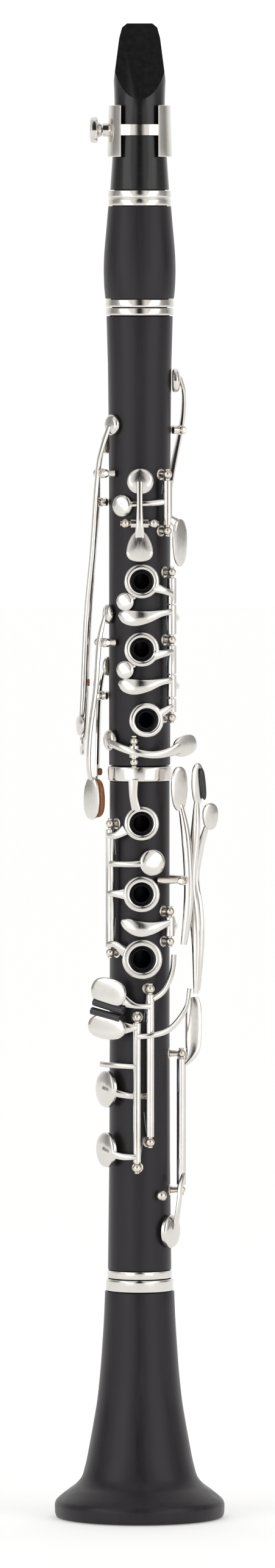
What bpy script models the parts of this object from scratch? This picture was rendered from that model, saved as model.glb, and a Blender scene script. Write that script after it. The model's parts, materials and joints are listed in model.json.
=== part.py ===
"""A soprano clarinet standing on its bell: wooden body in five sections and a full set of sprung keys.

Frame: origin at the centre of the bell's rim plane, +Z along the bore, finger holes facing -Y.
Lengths below are in millimetres; solids are scaled to metres when each node is finished.
"""
import math

import bmesh
import bpy
from mathutils import Matrix, Vector

for old in list(bpy.data.objects):
    bpy.data.objects.remove(old)

MM = 0.001
# --- driving dimensions (mm) ---
Z_TIP, Z_MP_BASE = 664.3, 590.5         # mouthpiece tip and shoulder
Z_BARREL_LOW = 538.4                     # barrel's lower face
Z_UPPER_TOP, Z_UPPER_LOW = 538.1, 335.2  # upper joint
Z_LOWER_TOP, Z_LOWER_LOW = 334.9, 106.8  # lower joint
Z_BELL_TOP = 106.5
R_BORE = 7.4
ROD_R, BORE_R, TUBE_R = 1.0, 1.35, 2.1   # pivot rod, key bore, key tube
GAP = 0.3
# finger holes: (x, z, radius)
UP_HOLES = [(0.9, 417.4, 3.6), (0.9, 387.2, 3.6), (2.9, 355.9, 3.6)]
LO_HOLES = [(0.8, 310, 3.8), (0.8, 278.6, 3.8), (1.1, 249.7, 4.2)]
FINE = 1                                 # sub-steps along a lofted arm
N_BODY, N_TUBE, N_CUP = 20, 6, 10       # facets round

MAIN = bpy.data.collections.new("clarinet")
bpy.context.scene.collection.children.link(MAIN)
SCRAP = bpy.data.collections.new("construction")
bpy.context.scene.collection.children.link(SCRAP)
Z = Vector((0, 0, 1))


def P(phi, r, z):
    """Point at an angle from the front (degrees, towards +X), a radius and a height."""
    a = math.radians(phi)
    return Vector((r * math.sin(a), -r * math.cos(a), z))


def out(phi):
    return P(phi, 1, 0)


def side(phi):
    a = math.radians(phi)
    return Vector((math.cos(a), math.sin(a), 0))


def place(origin, x, y):
    """Matrix that puts local X and Y along x and y, and local Z along x cross y."""
    x, y = x.normalized(), y.normalized()
    z = x.cross(y)
    m = Matrix((x, y, z)).transposed().to_4x4()
    m.translation = origin
    return m


def facing(phi, r, z):
    """Local X to the side, local Y up the bore, local Z outward, at a point on the body."""
    s, o = side(phi), out(phi)
    m = Matrix((s, Z, o)).transposed().to_4x4()
    m.translation = P(phi, r, z)
    return m


def scrap(bm, name="s"):
    bmesh.ops.recalc_face_normals(bm, faces=bm.faces)
    me = bpy.data.meshes.new(name)
    bm.to_mesh(me)
    bm.free()
    o = bpy.data.objects.new(name, me)
    SCRAP.objects.link(o)
    return o


def cyl(p0, p1, r0, r1=None, n=None):
    bm = bmesh.new()
    d = p1 - p0
    bmesh.ops.create_cone(bm, cap_ends=True, segments=n or N_TUBE, radius1=r0, radius2=r0 if r1 is None else r1, depth=d.length)
    m = Matrix.Translation((p0 + p1) / 2) @ d.to_track_quat("Z", "Y").to_matrix().to_4x4()
    bmesh.ops.transform(bm, matrix=m, verts=bm.verts)
    return scrap(bm)


def ball(c, r, n=6):
    bm = bmesh.new()
    bmesh.ops.create_uvsphere(bm, u_segments=n, v_segments=max(4, n // 2), radius=r)
    bmesh.ops.transform(bm, matrix=Matrix.Translation(c) @ Matrix.Rotation(math.radians(13), 4, 'Z'), verts=bm.verts)
    return scrap(bm)


def box(lo, hi, m=None):
    bm = bmesh.new()
    bmesh.ops.create_cube(bm, size=1)
    lo, hi = Vector(lo), Vector(hi)
    s = hi - lo
    t = Matrix.Translation((lo + hi) / 2) @ Matrix.Diagonal((s.x, s.y, s.z, 1))
    bmesh.ops.transform(bm, matrix=(m or Matrix()) @ t, verts=bm.verts)
    return scrap(bm)


def turn(profile, n=None, closed=True, m=None):
    """A turned solid: profile points are (radius, height); a closed profile makes a tube."""
    bm = bmesh.new()
    vs = [bm.verts.new((r, 0, h)) for r, h in profile]
    es = [bm.edges.new((vs[i], vs[i + 1])) for i in range(len(vs) - 1)]
    if closed:
        es.append(bm.edges.new((vs[-1], vs[0])))
    bmesh.ops.spin(bm, geom=vs + es, cent=(0, 0, 0), axis=(0, 0, 1), angle=2 * math.pi, steps=n or N_BODY, use_duplicate=False)
    bmesh.ops.remove_doubles(bm, verts=bm.verts, dist=1e-4)
    bmesh.ops.transform(bm, matrix=m or Matrix(), verts=bm.verts)
    return scrap(bm)


def spline(points, sub):
    """Catmull-Rom through rows of numbers, so an arm bends smoothly."""
    if sub < 2 or len(points) < 3:
        return points
    rows = []
    for i in range(len(points) - 1):
        a, b, c, d = points[max(i - 1, 0)], points[i], points[i + 1], points[min(i + 2, len(points) - 1)]
        for k in range(sub):
            t = k / sub
            rows.append([0.5 * (2 * q + (r - p) * t + (2 * p - 5 * q + 4 * r - s) * t * t + (3 * q - p - 3 * r + s) * t ** 3)
                         for p, q, r, s in zip(a, b, c, d)])
    rows.append(points[-1])
    return rows


def arm(path, n=4, sub=None, power=0.7, outward=None):
    """A lofted bar with unlike oval sections. path rows: (phi, r, z, half width, half thickness)."""
    rows = spline([list(map(float, p)) for p in path], sub or FINE)
    pts = [P(p[0], p[1], p[2]) for p in rows]
    bm = bmesh.new()
    rings = []
    for i, p in enumerate(rows):
        t = (pts[min(i + 1, len(pts) - 1)] - pts[max(i - 1, 0)]).normalized()
        o = outward or out(p[0])
        s = t.cross(o).normalized()
        u = s.cross(t).normalized()
        ring = []
        for k in range(n):
            a = 2 * math.pi * (k + 0.5) / n
            ca, sa = math.cos(a), math.sin(a)
            ring.append(bm.verts.new(pts[i] + s * p[3] * math.copysign(abs(ca) ** power, ca) + u * p[4] * math.copysign(abs(sa) ** power, sa)))
        rings.append(ring)
    for r0, r1 in zip(rings, rings[1:]):
        for k in range(n):
            bm.faces.new((r0[k], r0[(k + 1) % n], r1[(k + 1) % n], r1[k]))
    bm.faces.new(rings[0][::-1])
    bm.faces.new(rings[-1])
    return scrap(bm)


def plate(outline, m, t):
    """A flat outline (local X, Y) with thickness t, from local Z 0 to t."""
    bm = bmesh.new()
    f = bm.faces.new([bm.verts.new((x, y, 0)) for x, y in outline])
    g = bmesh.ops.extrude_face_region(bm, geom=[f])
    vs = [v for v in g["geom"] if isinstance(v, bmesh.types.BMVert)]
    bmesh.ops.translate(bm, verts=vs, vec=(0, 0, t))
    bmesh.ops.transform(bm, matrix=m, verts=bm.verts)
    return scrap(bm)


def egg(a, b, c=0.0, n=12, power=1.0):
    """Outline of half width a, half height b; c above 0 widens its upper end."""
    pts = []
    for i in range(n):
        t = 2 * math.pi * i / n
        ca, sa = math.cos(t), math.sin(t)
        pts.append((a * (1 + c * sa) * math.copysign(abs(ca) ** power, ca), b * math.copysign(abs(sa) ** power, sa)))
    return pts


def washer(m, ro, ri, h, n=None):
    return turn([(ri, 0), (ro, 0), (ro, h * 0.55), (ro - 0.6, h), (ri, h)], n or N_CUP, True, m)


def cup(m, r, h, n=None):
    """A domed key cup with its pad, bottom at local Z 0."""
    return turn([(0, 0), (r - 0.5, 0), (r, 0.5), (r, h * 0.62), (r * 0.72, h * 0.93), (0, h)], n or N_CUP, False, m)


def boolean(a, b, how):
    md = a.modifiers.new("b", "BOOLEAN")
    md.operation, md.object, md.solver = how, b, "EXACT"
    dg = bpy.context.evaluated_depsgraph_get()
    me = bpy.data.meshes.new_from_object(a.evaluated_get(dg))
    a.modifiers.clear()
    old = a.data
    a.data = me
    bpy.data.meshes.remove(old)
    bpy.data.objects.remove(b)
    return a


def join(*shapes):
    a = shapes[0]
    for b in shapes[1:]:
        a = boolean(a, b, "UNION")
    return a


def cut(a, *tools):
    for b in tools:
        a = boolean(a, b, "DIFFERENCE")
    return a


LOOKS = {
    "wood": ((0.030, 0.027, 0.030), 0.38, 0.0),
    "ebonite": ((0.012, 0.012, 0.013), 0.22, 0.0),
    "silver": ((0.86, 0.85, 0.83), 0.16, 1.0),
    "cork": ((0.42, 0.24, 0.12), 0.85, 0.0),
    "cane": ((0.74, 0.60, 0.34), 0.6, 0.0),
}
MATS = {}
for key, (rgb, rough, metal) in LOOKS.items():
    mt = bpy.data.materials.new(key)
    mt.use_nodes = True
    bs = mt.node_tree.nodes["Principled BSDF"]
    bs.inputs["Base Color"].default_value = (*rgb, 1)
    bs.inputs["Roughness"].default_value = rough
    bs.inputs["Metallic"].default_value = metal
    MATS[key] = mt


def node(name, shape, look, origin=(0, 0, 0)):
    """Finishes a node: merges slivers, scales to metres, and puts the origin on the joint's axis."""
    bm = bmesh.new()
    bm.from_mesh(shape.data)
    bmesh.ops.remove_doubles(bm, verts=bm.verts, dist=1e-5)
    bmesh.ops.transform(bm, matrix=Matrix.Scale(MM, 4) @ Matrix.Translation(-Vector(origin)), verts=bm.verts)
    me = bpy.data.meshes.new(name)
    bm.to_mesh(me)
    bm.free()
    me.shade_smooth()
    me.set_sharp_from_angle(angle=math.radians(35))
    o = bpy.data.objects.new(name, me)
    o.location = Vector(origin) * MM
    MAIN.objects.link(o)
    me.materials.clear()
    me.materials.append(MATS[look])
    bpy.data.objects.remove(shape)
    return o


# ---------------------------------------------------------------- body
def tube_profile(outer, bore_top, bore_low):
    """Closed turned profile: outer (radius, z) rows from the top down, then the bore back up."""
    return outer + [(bore_low, outer[-1][1]), (bore_top, outer[0][1])]


def build_body():
    # mouthpiece: round body, sloping beak in front, chamber and bore inside, shank into the barrel
    mp = turn([(0, Z_TIP), (12.6, Z_TIP), (12.3, 650), (11.0, 631), (11.6, 612), (13.1, Z_MP_BASE), (11.2, Z_MP_BASE),
               (11.2, 571), (7.4, 571), (7.0, 600), (6.0, 628), (4.5, 638), (0, 638)], None, False)
    slope = Matrix.Translation((0, 7.6, Z_TIP)) @ Matrix.Rotation(math.radians(-29), 4, "X")
    wedge = box((-20, -30, -40), (20, 0, 60), slope)
    chamber = box((-4.6, 1.9, -33), (4.6, 30, -4.5), slope)
    table = box((-20, 0, -34), (20, 20, 40), Matrix.Translation((0, 8.6, 630)))
    sides = []
    for x, z, lean in ((5.6, Z_TIP, 50), (7.3, Z_TIP, 15), (8.9, 659, 7.3)):
        sides.append(box((-40, -30, -40), (0, 30, 40), Matrix.Translation((-x, 0, z)) @ Matrix.Rotation(math.radians(lean), 4, "Y")))
        sides.append(box((0, -30, -40), (40, 30, 40), Matrix.Translation((x, 0, z)) @ Matrix.Rotation(math.radians(-lean), 4, "Y")))
    node("mouthpiece", cut(mp, wedge, table, chamber, *sides), "ebonite")
    # reed: flat cane with a rounded tip, lying on the table at the back
    node("reed", plate([(-5.6, 0), (5.6, 0), (6.3, 60), (6.2, 65.6), (3.4, 67.2), (-3.4, 67.2), (-6.2, 65.6), (-6.3, 60)],
                       place(Vector((0, 8.9, 596.8)), Vector((-1, 0, 0)), Z), 1.5), "cane")
    # ligature: a band open in front but for one bar across the middle
    band = turn([(13.7, 605), (14.4, 605.2), (13.7, 627.8), (13.0, 628)])
    for z0, z1 in ((600, 614.6), (619.4, 632)):
        band = cut(band, box((-8.3, -20, z0), (8.3, 0, z1)))
    lug = cyl(Vector((-13.6, 0, 617)), Vector((-16.4, 0, 617)), 3.0, n=12)
    band = join(band, lug)
    band = cut(band, cyl(Vector((-12, 0, 617)), Vector((-18, 0, 617)), 1.5, n=10))
    node("ligature", band, "silver")
    m = place(Vector((-16.7, 0, 617)), Vector((0, 1, 0)), Vector((0, 0, 1)))
    m = Matrix.Translation((-16.7, 0, 617)) @ Matrix.Rotation(math.radians(-90), 4, "Y")
    node("ligature_screw", turn([(0, -2.6), (1.1, -2.6), (1.1, 0), (2.6, 0), (3.6, 1.6), (5.8, 2.0), (5.8, 4.6), (4.6, 5.3), (0, 5.3)], 12, False, m),
         "silver", (-16.7, 0, 617))
    node("mouthpiece_cork", turn([(11.5, 572), (12.1, 572), (12.1, 588.2), (11.5, 588.2)]), "cork")
    # barrel with its two rings
    node("barrel", turn(tube_profile([(13.9, 583.3), (14.6, 575), (15.7, 563), (16.0, 555), (15.7, 547), (15.2, 542.3)], 12.5, 12.5)
                        [:-2] + [(13.1, 542.3), (13.1, 557), (R_BORE, 557), (R_BORE, 570.6), (12.4, 570.6), (12.4, 583.3)]), "wood")
    node("barrel_top_ring", turn([(13.4, 583.6), (13.9, 583.6), (13.9, 586.3), (13.3, 586.8), (13.9, 587.3), (13.9, 590.2), (13.4, 590.2)]), "silver")
    node("barrel_bottom_ring", turn([(13.3, 538.6), (15.0, 538.6), (15.2, 539.2), (15.1, 542.0), (13.3, 542.0)]), "silver")
    # upper joint: top tenon, body, bottom tenon
    up = turn([(12.2, 556.6), (12.2, 538.2), (13.2, 538.2), (13.2, 534.6), (14.7, 534.6), (14.1, 513), (13.7, 480), (13.6, 459), (13.6, 335.4), (10.9, 335.4),
               (10.9, 318.5), (R_BORE, 318.5), (R_BORE, 556.6)])
    chim = []
    for x, z, r in UP_HOLES:
        chim.append((math.degrees(math.asin(x / 15)), z, r))
    for phi, z, r in chim:
        up = join(up, cyl(P(phi, 11, z), P(phi, 15.4, z), r + 1.0, r + 0.7, n=12))
    for phi, z, r in chim:
        up = cut(up, cyl(P(phi, 5, z), P(phi, 20, z), r, n=12))
    node("upper_joint", up, "wood")
    node("upper_joint_ring", turn([(13.4, 535.0), (14.9, 535.0), (15.1, 535.6), (15.0, 538.2), (13.4, 538.2)]), "silver")
    node("upper_tenon_cork", turn([(12.5, 541), (12.85, 541), (12.85, 555), (12.5, 555)]), "cork")
    node("middle_tenon_cork", turn([(11.2, 320), (11.7, 320), (11.7, 333.5), (11.2, 333.5)]), "cork")
    # lower joint: socket at the top, tenon at the bottom
    lo = turn([(12.9, 334.9), (12.9, 328.2), (13.3, 328.2), (13.3, 220), (13.5, 160), (14.1, 112), (14.1, 110.6), (13.4, 110.6), (13.4, 106.9), (12.6, 106.9), (12.6, 87.5),
               (8.6, 87.5), (R_BORE, 200), (R_BORE, 318.2), (12.0, 318.2), (12.0, 334.9)])
    for x, z, r in LO_HOLES:
        phi = math.degrees(math.asin(x / 15))
        lo = join(lo, cyl(P(phi, 11, z), P(phi, 15.1, z), r + 1.0, r + 0.7, n=12))
        lo = cut(lo, cyl(P(phi, 5, z), P(phi, 20, z), r, n=12))
    node("lower_joint", lo, "wood")
    node("lower_joint_ring", turn([(13.2, 328.5), (14.0, 328.5), (14.2, 329.2), (14.2, 334.2), (13.9, 334.9), (13.2, 334.9)]), "silver")
    node("lower_joint_bottom_ring", turn([(13.7, 106.9), (14.4, 106.9), (14.4, 110.3), (13.7, 110.3)]), "silver")
    node("bell_tenon_cork", turn([(12.9, 89), (13.4, 89), (13.4, 100.4), (12.9, 100.4)]), "cork")
    # bell: flared shell, socket at the top, rounded foot rim
    bell = [(13.7, 106.5), (13.7, 101.2), (15.4, 100.8), (15.9, 88), (17.3, 67), (18.8, 52), (20.7, 41), (23.6, 25), (25.6, 17.6), (28.2, 14.5),
            (31.0, 12.5), (34.9, 9.5), (37.2, 7.4), (37.8, 5.8), (37.7, 1.6), (37.0, 0), (34.4, 0), (33.6, 1.2), (32.6, 4.5), (28.5, 8.8),
            (23.6, 15.5), (21.3, 26), (17.3, 42), (13.9, 60), (12.2, 75), (11.4, 87.2), (13.6, 87.2)]
    node("bell", turn(bell[:-1] + [(13.65, 87.2)], 24), "wood")
    node("bell_ring", turn([(14.0, 101.2), (15.0, 101.2), (15.0, 105.8), (14.7, 106.5), (14.0, 106.5)]), "silver")


# ---------------------------------------------------------------- keywork
def wood_r(z):
    rows = [(106, 14.2), (112, 14.1), (160, 13.5), (220, 13.3), (328, 13.3), (335.3, 14.2), (335.4, 13.6), (459, 13.6), (480, 13.7), (513, 14.1), (534, 14.7)]
    for (z0, r0), (z1, r1) in zip(rows, rows[1:]):
        if z0 <= z <= z1:
            return r0 + (r1 - r0) * (z - z0) / (z1 - z0)
    return 14.0


def post(phi, r, z, off=0.0, rb=2.0):
    """A turned post: foot on the wood, pillar, and the ball that holds the rod's end."""
    s, o = side(phi), out(phi)
    d = math.sqrt(wood_r(z) ** 2 - max(0, abs(off) - 1.7) ** 2) + 0.35
    flat = s * off + Vector((0, 0, z))
    return join(cyl(o * d + flat, o * (r - 0.3) + flat, 1.7, 1.1, n=6), ball(o * r + flat, rb))


def posts_along(name, phi, r, zs, rb=2.0):
    """Rod along the bore with a post at each height, as one piece."""
    shape = cyl(P(phi, r, zs[0]), P(phi, r, zs[-1]), ROD_R, n=6)
    for z in zs:
        shape = join(shape, post(phi, r, z, rb=rb))
    return node(name, shape, "silver")


def posts_across(name, phi, r, z, offs, rb=2.0):
    """Rod across the bore with a post at each sideways offset, as one piece."""
    s, c = side(phi), P(phi, r, z)
    shape = cyl(c + s * offs[0], c + s * offs[-1], ROD_R, n=6)
    for q in offs:
        shape = join(shape, post(phi, r, z, q, rb))
    return node(name, shape, "silver")


def key_along(name, phi, r, z0, z1, *shapes, tube=TUBE_R):
    """A key whose tube turns on a rod that runs along the bore."""
    a, b = P(phi, r, z0), P(phi, r, z1)
    shape = join(cyl(a, b, tube), *shapes)
    shape = cut(shape, cyl(a - Z * 0.5, b + Z * 0.5, BORE_R, n=6))
    return node(name, shape, "silver", (a + b) / 2)


def key_across(name, phi, r, z, half, *shapes, off=0.0):
    """A see-saw key whose short tube turns on a rod across the bore."""
    s, c = side(phi), P(phi, r, z) + side(phi) * off
    shape = join(cyl(c - s * half, c + s * half, TUBE_R), *shapes)
    shape = cut(shape, cyl(c - s * (half + 0.5), c + s * (half + 0.5), BORE_R, n=6))
    return node(name, shape, "silver", c)


def lever_bar(phi, off, path, **kw):
    """A bar at a constant sideways offset; path rows: (r, z, half width, half thickness)."""
    o, s = out(phi), side(phi)
    rows = []
    for r, z, w, t in path:
        p = o * r + s * off
        rows.append((math.degrees(math.atan2(p.x, -p.y)), math.hypot(p.x, p.y), z, w, t))
    return arm(rows, outward=o, **kw)


def cup_at(phi, r, z, rad, h=3.0):
    return cup(facing(phi, r, z), rad, h)


def touch(phi, r, z, a, b, t=1.3, face=None, c=0.15, tilt=0.0, off=0.0, power=0.85):
    """A finger plate centred at (phi, r, z), facing another angle if given."""
    f = phi if face is None else face
    m = facing(f, 0, 0)
    m.translation = P(phi, r, z) + side(phi) * off
    return plate(egg(a, b, c, 12, power), m @ Matrix.Rotation(math.radians(tilt), 4, "Z"), t)


RIGHT, LOWR = (54.7, 17.4), (-50.0, 17.0)
F_ROD, E_ROD, A_ROD = (15.7, 17.2), (-3.8, 17.2), (80.0, 18.8)
LEV, LEV_R, LEV_Z = 75.0, 21.8, 284.5


def build_upper_keys():
    posts_along("upper_stack_rod", *RIGHT, (421.3, 391.2, 356.8))
    for name, x, z, z0, z1, za in (("ring_key_1", 0.9, 417.4, 407.2, 418.8, 411.4), ("ring_key_2", 0.9, 387.2, 376.2, 388.8, 386.2)):
        f = math.degrees(math.asin(x / 15.6))
        key_along(name, *RIGHT, z0, z1, washer(facing(f, 15.6, z), 7.75, 5.2, 1.5),
                  arm([(21.5, 17.4, z - 2.5, 2.3, 0.7), (37, 18.2, (z - 2.5 + za) / 2, 1.5, 0.8), (54.0, 18.2, za, 1.5, 1.0)]),
                  arm([(-9, 16.4, z - 6.2, 1.6, 0.6), (-20, 16.9, z - 8.4, 1.8, 0.7)]),
                  cup_at(-22.3, 15.7, z - 9.05, 4.1, 2.8))
    key_along("ring_key_3", *RIGHT, 359.2, 365.2, washer(facing(10.7, 15.6, 355.9), 7.75, 5.2, 1.5),
              arm([(30, 17.3, 358.4, 2.0, 0.7), (43, 18.1, 360.6, 1.5, 0.8), (54.0, 18.3, 362, 1.5, 1.0)]))
    for name, z, z0, z1 in (("crescent_key_1", 401.0, 393.6, 406.8), ("crescent_key_2", 370.6, 366.0, 375.8)):
        key_along(name, *RIGHT, z0, z1,
                  arm([(-33, 16.5, z + 1.8, 1.0, 0.6), (-24, 16.7, z + 0.9, 2.9, 0.9), (-8, 16.9, z, 3.4, 1.0), (12, 17.1, z + 0.6, 2.6, 1.0),
                       (34, 17.5, z + 2.2, 1.5, 0.9), (54, 18.0, z + 3, 1.5, 1.1)]),
                  arm([(57, 18.2, z, 1.4, 1.0), (74, 17.6, z, 1.4, 0.8), (88, 16.4, z, 1.6, 0.6)]), cup_at(92, 13.95, z, 4.2, 2.6))
    # A key: see-saw along the front
    posts_across("a_key_posts", 0, 17.5, 443, (-6.2, 6.2))
    key_across("a_key", 0, 17.5, 443, 3.9, cup_at(1.1, 13.95, 461.6, 5.9, 3.6),
               arm([(0, 18.0, 461.5, 1.4, 0.8), (0, 18.9, 452, 1.3, 0.8), (0, 19.0, 443, 1.7, 1.0), (0, 18.2, 437, 2.2, 0.8)]),
               touch(0, 17.2, 433.2, 5.5, 7.1, 1.4, c=-0.4))
    # G sharp key: its tube stands at the right, its arm passes under the A key
    posts_along("g_sharp_key_posts", 43.9, 17.8, (464.6, 439.6))
    key_along("g_sharp_key", 43.9, 17.8, 442.2, 462.0, cup_at(-30.2, 13.95, 450.8, 4.9, 3.0),
              arm([(-30, 16.5, 450.8, 1.4, 0.7), (-14, 16.1, 451.4, 1.2, 0.55), (0, 15.7, 451.6, 1.1, 0.55), (22, 16.2, 452, 1.2, 0.7), (42, 17.0, 452.5, 1.4, 1.0)]),
              arm([(46, 19.0, 445, 1.6, 1.0), (54, 20.3, 443, 2.4, 0.8)]),
              touch(58, 20.4, 434.4, 4.4, 10.6, 1.3, face=48, c=0.1))
    # register key: cup at the right edge, its lever curving away to a touch at the back
    posts_across("register_key_posts", 112, 18.2, 484, (-5.6, 5.6))
    key_across("register_key", 112, 18.2, 484, 3.2, cup_at(92, wood_r(506) + 0.4, 506, 5.4, 3.6),
               arm([(92, 18.0, 507.5, 2.6, 0.9), (96, 19.6, 501, 2.2, 1.0), (104, 19.9, 492, 1.9, 1.0), (112, 19.6, 484, 1.9, 1.0), (126, 18.9, 470, 1.8, 0.9),
                    (140, 18.5, 452, 1.9, 0.9), (150, 18.2, 440, 2.4, 0.9)]),
               touch(152, 17.6, 434.5, 5.0, 6.6, 1.3))
    # four side keys at the left edge
    posts_across("side_key_1_posts", -72, 18.0, 465, (-5.2, 5.2))
    key_across("side_key_1", -72, 18.0, 465, 2.9, cup_at(-53, 14.1, 486.5, 4.6, 3.0),
               arm([(-53, 16.8, 486, 1.4, 0.7), (-64, 18.6, 476, 1.5, 0.8), (-72, 19.6, 465, 1.7, 1.0), (-80, 21.2, 430, 1.7, 1.3), (-88, 23.5, 400, 1.7, 1.4),
                    (-88, 25.0, 365, 1.8, 1.4), (-88, 26.0, 355, 2.2, 1.0)]),
               touch(-88, 25.6, 352.8, 3.6, 4.4, 1.6, face=-70, off=0.0))
    posts_across("side_key_2_posts", -107.5, 17.8, 452, (-4.8, 4.8))
    key_across("side_key_2", -107.5, 17.8, 452, 2.5, cup_at(-107.5, 14.15, 478, 4.6, 3.0),
               lever_bar(-107.5, 0, [(17.0, 477, 1.4, 0.7), (18.9, 465, 1.5, 0.8), (19.4, 452, 1.7, 1.0), (21.5, 425, 1.7, 0.9), (23.6, 395, 1.7, 0.9), (25.2, 356, 1.8, 0.9), (26.2, 346, 2.2, 0.9)]),
               touch(-107.5, 25.8, 343.6, 3.6, 4.4, 1.6, face=-95.5))
    posts_across("side_key_3_posts", -69, 17.6, 390, (-4.8, 4.8))
    key_across("side_key_3", -69, 17.6, 390, 2.5, cup_at(-69, 13.95, 402.5, 4.4, 2.8),
               arm([(-69, 16.6, 402, 1.4, 0.6), (-69, 19.2, 390, 1.7, 1.0), (-71, 20.6, 370, 1.7, 0.9), (-75, 22.8, 350, 1.9, 0.9), (-76, 23.4, 336, 2.0, 0.9), (-76, 22.4, 329, 2.6, 0.8)]),
               touch(-76, 21.4, 320.8, 4.6, 9.6, 1.3, face=-42, c=-0.1))
    posts_across("side_key_4_posts", -110, 17.4, 366, (-4.6, 4.6))
    key_across("side_key_4", -110, 17.4, 366, 2.3, cup_at(-110, 13.95, 379, 4.4, 2.8),
               arm([(-110, 16.6, 378.5, 1.4, 0.6), (-110, 19.0, 366, 1.7, 1.0), (-110, 19.6, 350, 1.8, 0.9), (-110, 20.0, 330, 2.0, 0.9)]),
               touch(-110, 19.6, 322, 4.4, 8.6, 1.3, face=-96, c=-0.1))
    # C sharp / G sharp key: crosses the front below the third ring
    posts_along("c_sharp_key_posts", -8, 17.8, (346.6, 337.4), rb=1.7)
    key_along("c_sharp_key", -8, 17.8, 339.3, 344.7, cup_at(-60, 13.95, 346.6, 4.6, 3.0),
              arm([(-58, 16.6, 346.2, 1.6, 0.7), (-35, 17.6, 344.4, 1.6, 0.8), (-8, 19.3, 342, 1.6, 0.8), (18, 19.0, 340.6, 1.6, 0.8), (42, 19.4, 341.6, 2.0, 0.8), (60, 20.6, 343.4, 3.0, 0.8)]),
              touch(72, 20.6, 344.2, 7.0, 4.7, 1.3, face=42, c=0, tilt=14))
    # thumb ring at the back
    posts_along("thumb_ring_posts", -142, 17.4, (415.5, 392.5))
    key_along("thumb_ring_key", -142, 17.4, 395.0, 413.0, washer(facing(180, 15.6, 404), 7.4, 5.2, 1.5),
              arm([(-158, 16.9, 404, 2.2, 0.7), (-146, 18.0, 404, 1.6, 1.0)]))
    node("thumb_tube", turn([(3.2, 0), (4.4, 0), (4.1, 1.6), (3.2, 1.6)], 14, True, facing(180, 13.95, 404)), "wood")


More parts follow.
